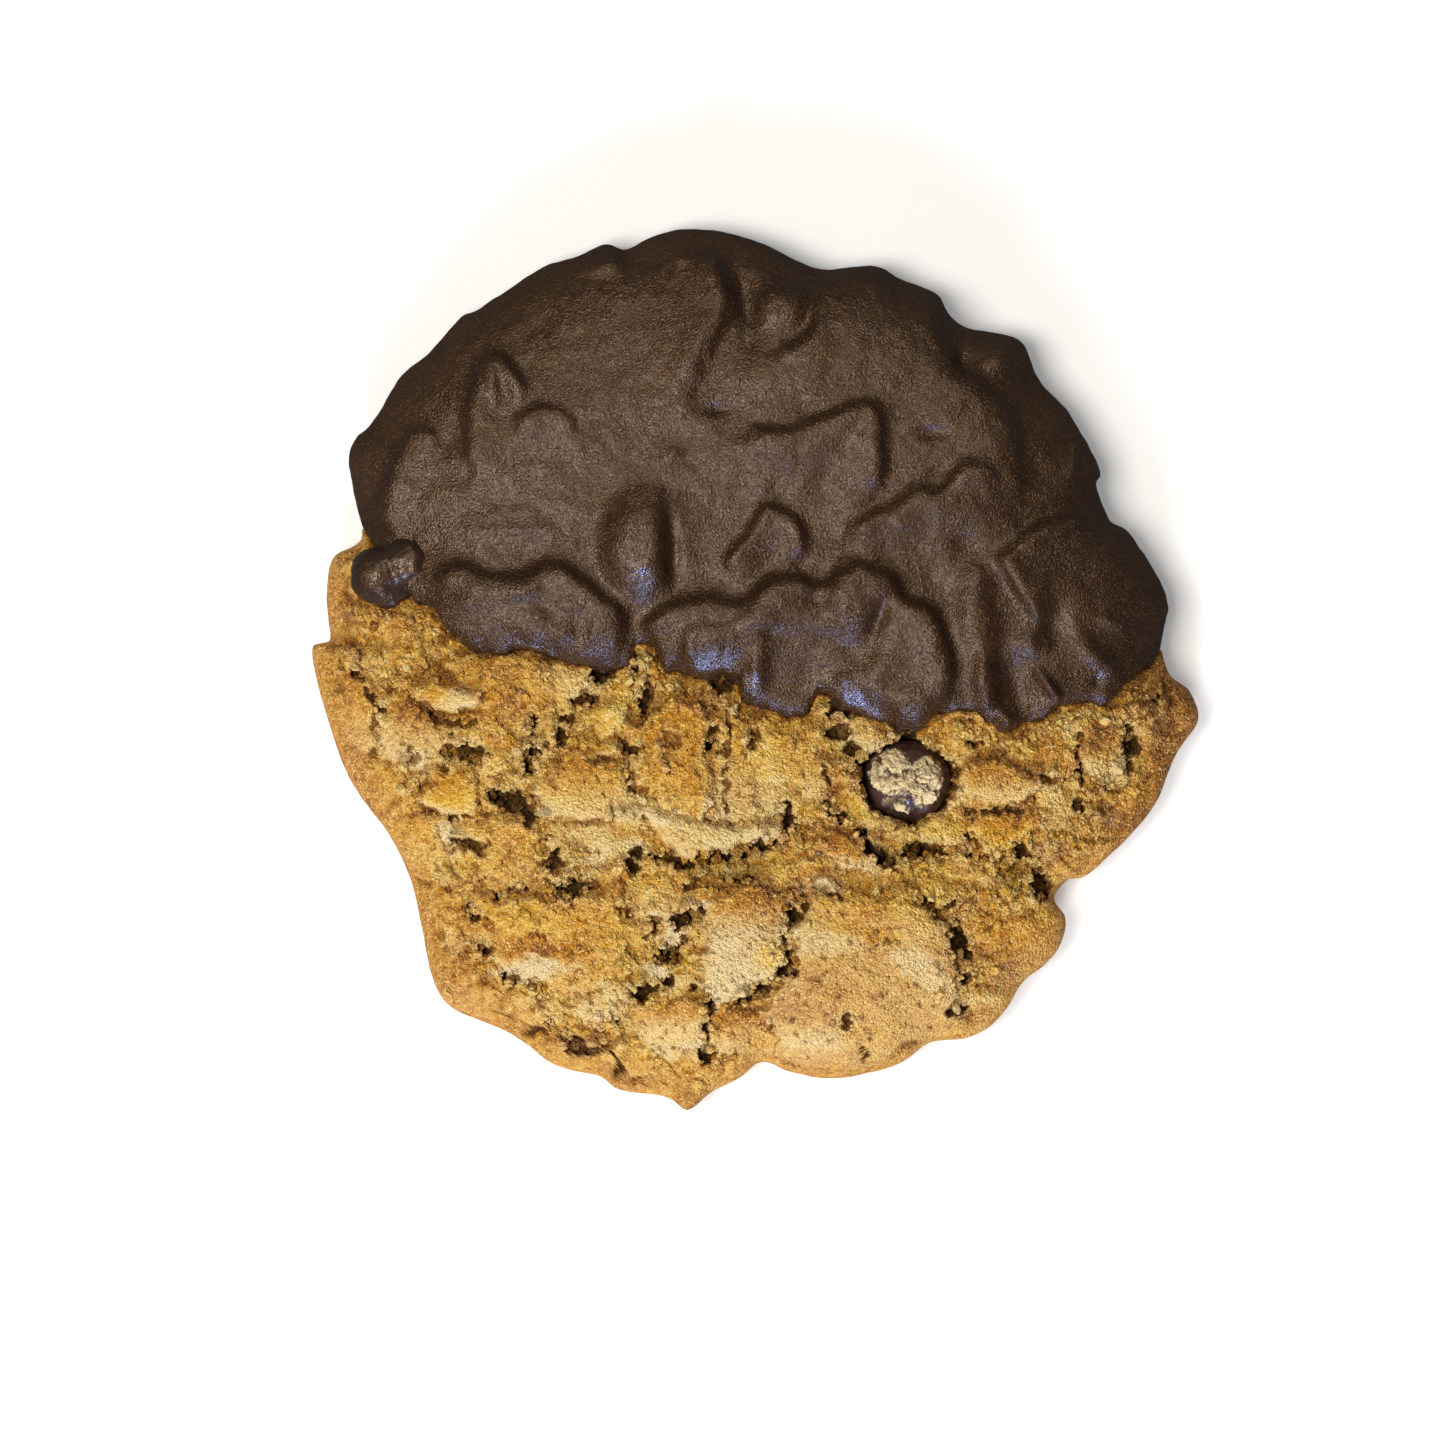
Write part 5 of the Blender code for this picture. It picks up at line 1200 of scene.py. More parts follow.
def crust_values(crust, points, facing, base_level, share, top, fine_shade):
    """Bake, flour, hollow and pit of each point, and how hollow it is before the tones' painted
    shade is added.

    Sunk and low places are hollow and dips of a grain's size are pits, both darkened as painted
    shade. Ridges and the tops of grains are paler, a painted highlight, and faces to the south are
    paler, partly the pale broken crumb and partly painted light. Feet of steps, hollows of about
    2 mm and faces to the north are browner, and bumps of about 2 mm paler, as painted shade and
    light. The rim has a skin of its own.
    """
    bake_and_shading, flour, gloom = crust.tone
    rim_fade = ease((1.0 - share) / RIM_FADE)
    level = points[..., 2] - base_level
    # Painted shade in low places, holes and cracks.
    hollow = np.clip((blurred(level, 6) - level - 0.3) / 1.6, 0.0, 0.55)
    hollow = np.maximum(hollow, 0.85 * crust.sunk ** 1.5 * rim_fade)
    # Painted shade at the foot of a step, where the crust to the north stands higher.
    north_level = np.concatenate([blurred(level, 2)[5:], level[-5:]])
    foot = np.clip((north_level - level - 0.15) / 0.8, 0.0, 1.0) * rim_fade
    # Painted shade in dips of a grain's size, the pits.
    dip = blurred(level, 2) - level
    pit = np.clip((dip - 0.02) / 0.18, 0.0, 1.0)
    # Painted shade browns hollows of about 2 mm and painted light pales bumps of that size; ridges
    # and tops of grains get a painted highlight.
    sag = blurred(level, 4) - level
    ridge_highlight = np.clip(-sag / 0.5, 0.0, 1.0) + np.clip((-dip - 0.02) / 0.16, 0.0, 1.0)
    # Faces turned south, to the light, are paler, partly pale broken crumb and partly painted light;
    # faces turned north get painted shade.
    southward = np.clip(-facing[..., 1], 0.0, 1.0) * rim_fade
    northward = np.clip(facing[..., 1], 0.0, 1.0) * rim_fade
    bake_and_shading = bake_and_shading - 0.14 * southward + 0.12 * northward + 0.09 * NOISE.swell(points, 2.4)
    bake_and_shading = bake_and_shading + 0.06 * (fine_shade - 0.5) + 0.2 * foot + 0.26 * np.clip(sag / 0.4, -0.5, 1.0)
    bake_and_shading = bake_and_shading + 0.09 * crust.sleek
    flour = flour + 0.24 * southward + 0.13 * ridge_highlight - 0.3 * foot - 0.10 * crust.sleek
    rim_skin = 1.0 - ease((1.0 - share) / RIM_SKIN)
    right_end = ease((crust.x - 27.0) / 9.0)
    bake_and_shading = bake_and_shading + (0.64 + 0.24 * right_end - bake_and_shading) * 0.75 * rim_skin
    flour = flour + (0.20 - 0.2 * right_end - flour) * 0.75 * rim_skin
    gloom = gloom * (1.0 - 0.8 * rim_skin)
    bake_and_shading = np.where(top, bake_and_shading, 0.80 + 0.08 * NOISE.swell(points, 4.0))
    hollow = hollow + 0.15 * foot
    # The tones' painted shade, such as the olive and mossy tones, joins the painted shade of hollows.
    values = {"bake_and_shading": bake_and_shading, "flour": flour, "hollow": np.maximum(hollow, 0.6 * gloom), "pit": pit,
              "sleek": crust.sleek}
    return values, hollow


def make_crust(material):
    """Dome and relief, then grain along the normals, with its tones as values of the points."""
    grid, first_tip, last_tip = crust_grid()
    x, y, share, past, top = grid["x"], grid["y"], grid["share"], grid["past"], ~grid["under"]
    crust = crust_surface(x, y)
    slab = ease(crust.brow)
    shown = 1.0 - ease((past - 0.45) / 0.9)
    relief = crust.height * ease((1.0 - share) / RIM_FADE) * shown
    points = np.stack([x, y, grid["z"] + np.where(top, relief, 0.0)], axis=-1)
    normal = loop_normals(points)

    crust.sleek = np.maximum(crust.sleek, 0.9 * (1.0 - ease((1.0 - share) / 0.16)))
    grain, crumbly, fine_shade = crust_grain(points, slab, crust.sleek)
    at_rim = 1.0 - ease((1.0 - share) / 0.06)
    amount = np.where(top, 1.0 - 0.45 * at_rim, 0.35 * ease((share - 0.86) / 0.1)) * shown
    points = points + normal * (grain * amount)[..., None]
    points[..., 2] = np.where(top, points[..., 2], np.maximum(points[..., 2], 0.0))

    facing = loop_normals(points)
    values, hollow = crust_values(crust, points, facing, grid["z"], share, top, fine_shade)
    piece = add_stack("crust", first_tip, points, last_tip, material, values)
    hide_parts("biscuit")
    bare = top & (share < 0.985) & (past < -0.25)
    clear = ellipse_share(x, y, CHIP_POCKET) > 1.0
    by_lip = 0.8 * np.exp(-((past + 0.7) / 0.8) ** 2)
    skin = 0.5 * (1.0 - ease((1.0 - share) / RIM_SKIN))
    rough = np.clip(0.06 + 0.9 * crumbly + 0.4 * hollow + by_lip - skin, 0.02, 1.5)
    return {"points": points, "normal": facing, "chance": bare * clear * rough, **values}


def make_crumbs(name, crust, count, sizes, seed, material):
    """Small uneven crumbs half sunk in the crust, in the tones of the places where they lie.

    Each is a coarse ball with its own three half sizes, turn and dents. Its place is drawn at
    random over the bare crust, by area and by how crumbly the crust is there.
    """
    draw = np.random.default_rng(seed)
    points = crust["points"]
    along = np.roll(points, -1, axis=1) - points
    onward = np.gradient(points, axis=0)
    area = np.linalg.norm(np.cross(along, onward), axis=2)
    chance = (area * crust["chance"]).ravel()
    chosen = draw.choice(chance.size, count, p=chance / chance.sum())
    shift = draw.random((2, count, 1)) - 0.5
    place = points.reshape(-1, 3)[chosen] + shift[0] * along.reshape(-1, 3)[chosen]
    place = place + shift[1] * onward.reshape(-1, 3)[chosen]
    middle_size = sizes[0] + (sizes[1] - sizes[0]) * draw.random(count) ** 2
    place = place + crust["normal"].reshape(-1, 3)[chosen] * (0.05 * middle_size)[:, None]
    pole = np.array([[0.0, 0.0, 1.0]])
    ball = np.vstack([-pole, ball_directions(3, 6).reshape(-1, 3), pole])
    half = middle_size[:, None] * draw.uniform(0.6, 1.35, (count, 3))
    dents = draw.uniform(0.60, 1.20, (count, len(ball), 1))
    turns = np.linalg.qr(draw.normal(size=(count, 3, 3)))[0]
    turns *= np.sign(np.linalg.det(turns))[:, None, None]
    crumbs = np.einsum("nij,nkj->nki", turns, ball[None] * dents * half[:, None, :])
    crumbs = crumbs + place[:, None]
    quads, fans = outward(ball, *loop_faces(3, 6))
    first = (np.arange(count) * len(ball))[:, None, None]
    faces = (quads + first).reshape(-1, 4).tolist() + (fans + first).reshape(-1, 3).tolist()
    values = {}
    # Each crumb takes the crust's values where it lies, with their painted shade and light.
    for label, swing in (("bake_and_shading", 0.10), ("flour", 0.07), ("hollow", 0.02), ("pit", 0.0),
                         ("sleek", 0.0)):
        number = crust[label].ravel()[chosen] + draw.normal(0.0, swing, count)
        values[label] = np.repeat(np.clip(number, 0.0, 1.0), len(ball))
    piece = add_piece(name, crumbs.reshape(-1, 3), faces, material, values, smooth=False)
    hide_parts("biscuit")


# ---- chocolate


def terrace(x, y, points, height, slope, reach):
    """A step along a walk: full height just right of it, fading over reach, nothing on its left.

    Each place takes its offset from the walk as a mean over the walk's points, weighted by how
    near they are, so that the step has no creases.
    """
    share = np.linspace(0.0, 1.0, TERRACE_POINTS)
    path = even_steps(spline(points), share)
    window = ease(share / 0.12) * ease((1.0 - share) / 0.12)
    total, offset, gap, ends = np.full(x.shape, 1e-9), 0.0, 0.0, 0.0
    for (at_x, at_y), (out_x, out_y), weight in zip(path, right_hand(path), window):
        square = (x - at_x) ** 2 + (y - at_y) ** 2
        near = 1.0 / (square + 0.2) ** 2
        total = total + near
        offset = offset + near * ((x - at_x) * out_x + (y - at_y) * out_y)
        gap = gap + near * np.sqrt(square)
        ends = ends + near * weight
    gap = gap / total
    width = 0.72 * slope + 0.42 * gap
    rise = ease((offset / total + width) / (2.0 * width))
    return height * rise * np.exp(-(gap / reach) ** 2) * ends / total


def coat_surface(x, y):
    """Relief of the chocolate over the dome: terraces, bumps and dents added up, and a slow swell.

    A smooth limit keeps the sum from growing past the highest relief.
    """
    height = np.zeros(x.shape)
    for points, rise, slope, reach in TERRACES.values():
        height = height + TERRACE_SHARE * terrace(x, y, points, rise, slope, reach)
    for *ellipse, rise, flatness in BUMPS.values():
        along, across = ellipse_axes(x, y, ellipse)
        height = height + BUMP_SHARE * rise * np.exp(-(along ** 2 + across ** 2) ** flatness)
    flat = flat_points(x, y)
    height = HIGHEST_RELIEF * np.tanh(height / HIGHEST_RELIEF)
    return height + 0.14 * NOISE.swell(flat, 3.2) + 0.06 * NOISE.swell(flat + 3.0, 1.5)


def lip_inset(past, share):
    """A quarter round that takes the chocolate down into the crust at the dip line."""
    depth = LIP_DEPTH[1] + (LIP_DEPTH[0] - LIP_DEPTH[1]) * ease((1.0 - share) / 0.1)
    near = np.clip(1.0 - past / LIP_ROUND, 0.0, 1.0)
    return depth * (1.0 - np.sqrt(1.0 - near ** 2))


def flatten_lip(x, y, z, past, top):
    """Heights drawn towards soft flats on the lip that rise to the north, and how wet each is."""
    wet = np.zeros(z.shape)
    for ellipse in LIP_FLATS.values():
        along, across = ellipse_axes(x, y, ellipse)
        mask = np.exp(-along ** 4 - across ** 2) * ease((past - 0.35) / 0.6) * top
        level = (z * mask).sum() / mask.sum()
        z = z + FLAT_SHARE * mask * (level + FLAT_SLOPE * (y - ellipse[1]) - z)
        wet = np.maximum(wet, mask)
    return z, wet


def make_chocolate(material):
    """The coat from its top tip to the lip on the crust, then its plain inside back again."""
    dipped = Cuts(side=1)
    lip = LIP_ROUND * (1.0 - np.cos(np.radians(np.linspace(0.0, 90.0, 14))))
    rest = LIP_ROUND + (dipped.run[-1] - LIP_ROUND) * np.linspace(0.0, 1.0, COAT_CUTS)[1:-1]
    outer = dipped.grid(np.concatenate([lip, rest])[::-1], lip_inset)
    x, y, share, past = outer["x"], outer["y"], outer["share"], outer["past"]
    top = ~outer["under"]
    risen = ease((past + 0.3) / 2.8)
    relief = coat_surface(x, y) * ease((1.0 - share) / RIM_FADE) * risen
    z, wet = flatten_lip(x, y, outer["z"] + np.where(top, relief, 0.0), past, top)
    points = np.stack([x, y, z], axis=-1)
    normal = loop_normals(points)
    waver = 0.05 * NOISE.swell(points, 1.1) + 0.09 * NOISE.swell(points + 17.0, 2.6)
    amount = np.where(top, 1.0, 0.5 * ease((share - 0.88) / 0.1))
    points = points + normal * (waver * amount)[..., None]
    points[..., 2] = np.maximum(points[..., 2], 0.0)
    inside = dipped.grid(np.linspace(0.0, 0.96 * dipped.run[-1], 8),
                         lambda past, share: np.full_like(share, COAT_INSIDE))
    inner = np.stack([inside["x"], inside["y"], inside["z"]], axis=-1)
    loops = np.concatenate([points, inner])
    edge, wetness = np.zeros(loops.shape[:2]), np.zeros(loops.shape[:2])
    edge[:len(share)] = ease((share - 0.90) / 0.09)
    wetness[:len(share)] = wet
    piece = add_stack("chocolate", dipped.tip(0.0), loops, dipped.tip(COAT_INSIDE), material,
                      {"edge": edge, "wet": wetness})
    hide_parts("chocolate_coat")


def ball_directions(rings, sides):
    """Unit directions on rings from the bottom to the top of a ball, without its two poles."""
    level = np.linspace(-0.5 * math.pi, 0.5 * math.pi, rings + 2)[1:-1][:, None]
    bearing = (np.arange(sides) * 2.0 * math.pi / sides)[None, :]
    return np.stack([np.cos(level) * np.cos(bearing), np.cos(level) * np.sin(bearing),
                     np.sin(level) + 0.0 * bearing], axis=-1)


def make_lump(name, place, half, turn, material, slot, node, values=None):
    """A round lump with a faint unevenness, as a ball with three half sizes and a turn."""
    directions = ball_directions(24, 40)
    pole = np.array([0.0, 0.0, 1.0])

    def spot(direction):
        """Points of the lump along directions from its middle."""
        offset = direction * np.array(half)
        offset = offset * (1.0 + 0.12 * NOISE.swell(offset + np.array(place), 0.9))[..., None]
        x, y = turned(offset[..., 0], offset[..., 1], turn)
        return np.stack([place[0] + x, place[1] + y, place[2] + offset[..., 2]], axis=-1)

    spread = {label: np.full(directions.shape[:2], number)
              for label, number in (values or {}).items()}
    piece = add_stack(name, spot(-pole), spot(directions), spot(pole), material, spread)
    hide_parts(node)


def make_chip(material):
    """The chip: a flattened, faintly creased ball whose top carries a baked-on layer of crumb."""
    pole = np.array([0.0, 0.0, 1.0])

    def spot(direction):
        """Points of the chip along directions from its middle, their crumb cover, and how dark each
        is, from painted shade in the crumb's dips and from burnt crumbs.
        """
        offset = direction * np.array(CHIP_HALF)
        crease = 0.05 * NOISE.swell(offset, 2.2) + 0.025 * NOISE.swell(offset + 9.0, 0.9)
        offset = offset * (1.0 + crease)[..., None]
        x, y = turned(offset[..., 0], offset[..., 1], CHIP_TURN)
        points = np.stack([CHIP_AT[0] + x, CHIP_AT[1] + y, CHIP_AT[2] + offset[..., 2]], axis=-1)
        ragged = broken(points[..., 0], points[..., 1], *CHIP_BREAKS)
        cover = np.zeros(x.shape)
        for ellipse in CHIP_CRUMBS:
            cover = np.maximum(cover, ease((1.1 - ellipse_share(*ragged, ellipse)) / 0.18))
        for ellipse in CHIP_WEDGES:
            cover = cover * ease((ellipse_share(*ragged, ellipse) - 0.9) / 0.3)
        cover = cover * (direction[..., 2] > 0.2)
        burnt = ease(1.4 - ellipse_share(*ragged, CHIP_BURNT))
        _, _, shade, _ = NOISE.nearest_grain(points + 3.0, 0.8)
        relief = 0.8 * chunks(points, 0.9) + 0.7 * chunks(points + 7.0, 0.5)
        # Painted shade in the dips of the crumb, then the real dark of the burnt crumbs.
        hollow = np.clip((-0.09 - relief) / 0.25, 0.0, 1.0)
        hollow = np.maximum(hollow, burnt * ease(3.0 * (shade - 0.35)))
        return points + direction * (cover * (0.25 + relief))[..., None], cover, hollow

    loops, cover, hollow = spot(ball_directions(120, 180))
    values = {"cover": cover, "hollow": hollow}
    piece = add_stack("chip", spot(-pole)[0], loops, spot(pole)[0], material, values)
    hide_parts("chocolate_chip")


def make_bead(material):
    """The bead: along each direction from its heart, as far as the farther of its round lobes."""
    heart = np.array(BEAD_HEART)

    def reach(direction):
        """Where the ray leaves each lobe, blended by a soft maximum."""
        total = 0.0
        for middle, radius in BEAD_LOBES:
            offset = np.array(middle) - heart
            along = (direction * offset).sum(axis=-1)
            leaves = along + np.sqrt(along ** 2 - (offset ** 2).sum() + radius ** 2)
            total = total + np.exp(4.5 * leaves)
        return np.log(total) / 4.5

    def place(direction):
        """Points of the bead, with a faint unevenness."""
        points = heart + direction * reach(direction)[..., None]
        uneven = 0.16 * NOISE.swell(points, 1.3) + 0.06 * NOISE.swell(points, 0.6)
        return points + direction * uneven[..., None]

    pole = np.array([0.0, 0.0, 1.0])
    piece = add_stack("edge_bead", place(-pole), place(ball_directions(60, 96)), place(pole),
                      material)
    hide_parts("chocolate_coat")


# ---- materials


def put(tree, kind, settings=None, inputs=None):
    """A node with its settings. Each input is set to a value, or linked where it is a socket."""
    made = tree.nodes.new(kind)
    for name, value in (settings or {}).items():
        setattr(made, name, value)
    for name, value in (inputs or {}).items():
        if isinstance(value, bpy.types.NodeSocket):
            tree.links.new(value, made.inputs[name])
        else:
            made.inputs[name].default_value = value
    return made


def reckon(tree, operation, first, second, third=None, clamp=False):
    """The output of a Math node."""
    inputs = {0: first, 1: second}
    if third is not None:
        inputs[2] = third
    settings = {"operation": operation, "use_clamp": clamp}
    return put(tree, "ShaderNodeMath", settings, inputs).outputs[0]


def blend_colours(tree, share, first, second):
    """The colour output of a Mix node."""
    inputs = {0: share, 6: first, 7: second}
    return put(tree, "ShaderNodeMix", {"data_type": "RGBA"}, inputs).outputs[2]


def ramp(tree, value, stops):
    """A colour ramp with stops of place and colour."""
    made = put(tree, "ShaderNodeValToRGB", None, {0: value})
    elements = made.color_ramp.elements
    while len(elements) > 1:
        elements.remove(elements[-1])
    elements[0].position, elements[0].color = stops[0][0], (*stops[0][1], 1.0)
    for place, colour in stops[1:]:
        elements.new(place).color = (*colour, 1.0)
    return made.outputs["Color"]


def noise(tree, place, size, detail, roughness):
    """Noise with bumps of about that size in millimetres, between 0 and 1."""
    inputs = {"Vector": place, "Scale": 1.0 / (size * MM), "Detail": detail, "Roughness": roughness}
    return put(tree, "ShaderNodeTexNoise", None, inputs).outputs[0]


def start_group(name, outputs):
    """An empty node group with named float outputs, its coordinates and its output node."""
    tree = bpy.data.node_groups.new(name, "ShaderNodeTree")
    for label in outputs:
        tree.interface.new_socket(name=label, in_out="OUTPUT", socket_type="NodeSocketFloat")
    coordinates = put(tree, "ShaderNodeTexCoord").outputs["Object"]
    return tree, coordinates, put(tree, "NodeGroupOutput")


def crumb_grain_group():
    """Grain of baked crumb: dark specks, a soft mottle, pale flecks and a height for bumps."""
    tree, place, out = start_group("crumb_grain", ("Specks", "Mottle", "Flecks", "Height"))
    fine = noise(tree, place, 0.19, 1.0, 0.5)
    medium = noise(tree, place, 0.8, 3.0, 0.6)
    broad = noise(tree, place, 3.2, 3.0, 0.55)
    cells = put(tree, "ShaderNodeTexVoronoi", None, {"Vector": place, "Scale": 1.0 / (0.36 * MM)})
    shade = put(tree, "ShaderNodeSeparateColor", None, {0: cells.outputs["Color"]}).outputs[0]
    speck = reckon(tree, "MULTIPLY", reckon(tree, "SUBTRACT", fine, 0.59), 10.0, clamp=True)
    gate = reckon(tree, "MULTIPLY", reckon(tree, "SUBTRACT", medium, 0.42), 3.6, clamp=True)
    fleck = reckon(tree, "MULTIPLY", reckon(tree, "SUBTRACT", 0.40, fine), 14.0, clamp=True)
    mottle = reckon(tree, "MULTIPLY_ADD", broad, 0.35, reckon(tree, "MULTIPLY", medium, 0.40))
    mottle = reckon(tree, "MULTIPLY_ADD", shade, 0.25, mottle)
    height = reckon(tree, "MULTIPLY_ADD", cells.outputs["Distance"], -0.8,
                    reckon(tree, "MULTIPLY", medium, 0.6))
    height = reckon(tree, "MULTIPLY_ADD", shade, 0.35, height)
    height = reckon(tree, "MULTIPLY_ADD", fine, 1.0, height)
    tree.links.new(reckon(tree, "MULTIPLY", speck, gate), out.inputs["Specks"])
    tree.links.new(mottle, out.inputs["Mottle"])
    tree.links.new(fleck, out.inputs["Flecks"])
    tree.links.new(height, out.inputs["Height"])
    return tree


def leather_height(tree, place):
    """Fine noise plus half a coarser one, and the fine noise itself."""
    fine = noise(tree, place, 0.18, 1.0, 0.5)
    medium = noise(tree, place, 0.6, 2.0, 0.5)
    return reckon(tree, "MULTIPLY_ADD", medium, 0.5, fine), fine


def leather_grain_group():
    """Grain of set chocolate: a fine leathery height, a slow variation and tiny bright points.

    The chocolate paints the bright points into its colour as glints, a painted highlight.
    """
    tree, place, out = start_group("leather_grain", ("Height", "Drift", "Glint"))
    height, fine = leather_height(tree, place)
    broad = noise(tree, place, 6.0, 2.0, 0.5)
    glint = reckon(tree, "MULTIPLY", reckon(tree, "SUBTRACT", fine, 0.58), 8.0, clamp=True)
    tree.links.new(height, out.inputs["Height"])
    tree.links.new(broad, out.inputs["Drift"])
    tree.links.new(glint, out.inputs["Glint"])
    return tree


def start_material(name):
    """A material with a Principled shader, its node tree and the shader."""
    material = bpy.data.materials.new(name)
    material.use_nodes = True
    tree = material.node_tree
    return material, tree, tree.nodes["Principled BSDF"]


def point_value(tree, name):
    """A number that the mesh holds for each point."""
    return put(tree, "ShaderNodeAttribute", {"attribute_name": name}).outputs["Fac"]


# Colours of the crust: from barely baked to burnt, a ramp along which painted shade also moves,
# then flour with painted light, flecks, specks, and the painted shade of pits and hollows.
BAKE_STOPS = (
    (0.05, (0.74, 0.52, 0.130)),
    (0.28, (0.68, 0.400, 0.042)),
    (0.48, (0.60, 0.300, 0.020)),
    (0.66, (0.49, 0.200, 0.012)),
    (0.84, (0.31, 0.112, 0.009)),
    (1.00, (0.17, 0.058, 0.008)),
)
FLOUR_AND_LIGHTING = (0.68, 0.54, 0.36, 1.0)
FLECK = (0.95, 0.74, 0.34, 1.0)
SPECK = (0.20, 0.080, 0.012, 1.0)
PIT_SHADE = (0.27, 0.115, 0.012, 1.0)
HOLLOW_SHADE = (0.075, 0.036, 0.008, 1.0)

# Colours of the chocolate: dark and light brown of the coat and of the beads, the painted glints
# in their colour and the tint of their sheen, then the share of the grain in its gloss.
COAT_BROWNS = ((0.022, 0.010, 0.005, 1.0), (0.036, 0.017, 0.009, 1.0))
BEAD_BROWNS = ((0.022, 0.012, 0.008, 1.0), (0.034, 0.018, 0.012, 1.0))
GLINT = (0.15, 0.09, 0.045, 1.0)
SHEEN = (1.0, 0.62, 0.34, 1.0)
GLOSS_GRAIN = 0.4

# Colours of the chip: dark and light brown, pale and deep crumb, specks of the crumb, and the dark
# of its pits, which is painted shade in the crumb's dips and also colours its burnt crumbs.
CHIP_BROWNS = ((0.045, 0.020, 0.018, 1.0), (0.085, 0.045, 0.040, 1.0))
CHIP_CRUMB = ((0.86, 0.69, 0.42, 1.0), (0.60, 0.44, 0.23, 1.0))
CHIP_SPECK = (0.14, 0.08, 0.03, 1.0)
CHIP_PIT_SHADE_AND_BURN = (0.035, 0.018, 0.010, 1.0)


def crust_colour(tree, grain, bake_and_shading, flour, hollow, pit, coarse):
    """Baked colour from the ramp, with painted shade and light in it, then flour with painted
    light, flecks, painted shade in pits, specks and painted shade in hollows over it.

    coarse is how strongly the flecks and specks show: less where the crust is sleek.
    """
    swing = reckon(tree, "SUBTRACT", grain.outputs["Mottle"], 0.5)
    colour = ramp(tree, reckon(tree, "ADD", bake_and_shading, swing), BAKE_STOPS)
    flour = reckon(tree, "ADD", flour, reckon(tree, "MULTIPLY", swing, -0.5))
    colour = blend_colours(tree, reckon(tree, "MULTIPLY", flour, 0.70, clamp=True), colour, FLOUR_AND_LIGHTING)
    fleck = reckon(tree, "MULTIPLY", grain.outputs["Flecks"], 0.70)
    colour = blend_colours(tree, reckon(tree, "MULTIPLY", fleck, coarse), colour, FLECK)
    colour = blend_colours(tree, reckon(tree, "MULTIPLY", pit, 0.45), colour, PIT_SHADE)
    speck = reckon(tree, "MULTIPLY", grain.outputs["Specks"], 0.90)
    colour = blend_colours(tree, reckon(tree, "MULTIPLY", speck, coarse), colour, SPECK)
    return blend_colours(tree, reckon(tree, "MULTIPLY", hollow, 0.9, clamp=True), colour, HOLLOW_SHADE)


def crust_material(grain_group):
    """Matte baked crumb, its grain a little finer where the crust is sleek."""
    material, tree, shader = start_material("baked_crust")
    grain = put(tree, "ShaderNodeGroup", {"node_tree": grain_group})
    coarse = reckon(tree, "MULTIPLY_ADD", point_value(tree, "sleek"), -0.22, 1.0)
    colour = crust_colour(tree, grain, point_value(tree, "bake_and_shading"), point_value(tree, "flour"),
                          point_value(tree, "hollow"), point_value(tree, "pit"), coarse)
    tree.links.new(colour, shader.inputs["Base Color"])
    shader.inputs["Roughness"].default_value = 0.8
    shader.inputs["Specular IOR Level"].default_value = 0.2
    height = reckon(tree, "MULTIPLY", grain.outputs["Height"], coarse)
    bump = put(tree, "ShaderNodeBump", None, {"Distance": 0.31 * MM, "Height": height})
    tree.links.new(bump.outputs["Normal"], shader.inputs["Normal"])
    return material


def chocolate_material(name, grain_group, browns, roughness, grain_depth, sparkle):
    """Dark chocolate: a broad brown sheen under a thin gloss, both broken up by the grain, with tiny
    glints in its colour, a painted highlight.

    The gloss is full on the lip's wet flats. Its bump makes the grain's height anew, and the
    group's height feeds only the bump of Normal.
    """
    material, tree, shader = start_material(name)
    grain = put(tree, "ShaderNodeGroup", {"node_tree": grain_group})
    drift = grain.outputs["Drift"]
    base = blend_colours(tree, drift, *browns)
    # Painted highlight: the grain's tiny glints lighten the base colour.
    base = blend_colours(tree, reckon(tree, "MULTIPLY", grain.outputs["Glint"], sparkle), base, GLINT)
    tree.links.new(base, shader.inputs["Base Color"])
    edge = point_value(tree, "edge")
    gloss = reckon(tree, "MULTIPLY_ADD", drift, 0.18, roughness - 0.09)
    gloss = reckon(tree, "MULTIPLY_ADD", grain.outputs["Glint"], -0.12, gloss)
    gloss = reckon(tree, "MULTIPLY_ADD", edge, 0.35, gloss)
    tree.links.new(gloss, shader.inputs["Roughness"])
    shader.inputs["Specular IOR Level"].default_value = 0.68
    shader.inputs["Specular Tint"].default_value = SHEEN
    coat = reckon(tree, "MULTIPLY_ADD", edge, -0.26, 0.26)
    coat = reckon(tree, "MULTIPLY_ADD", point_value(tree, "wet"), 0.9, coat)
    tree.links.new(coat, shader.inputs["Coat Weight"])
    shader.inputs["Coat Roughness"].default_value = 0.15
    coat_height, _ = leather_height(tree, put(tree, "ShaderNodeTexCoord").outputs["Object"])
    for socket, height, share in (("Normal", grain.outputs["Height"], 1.0),
                                  ("Coat Normal", coat_height, GLOSS_GRAIN)):
        settings = {"Distance": share * grain_depth * MM, "Height": height}
        bump = put(tree, "ShaderNodeBump", None, settings)
        tree.links.new(bump.outputs["Normal"], shader.inputs[socket])
    return material


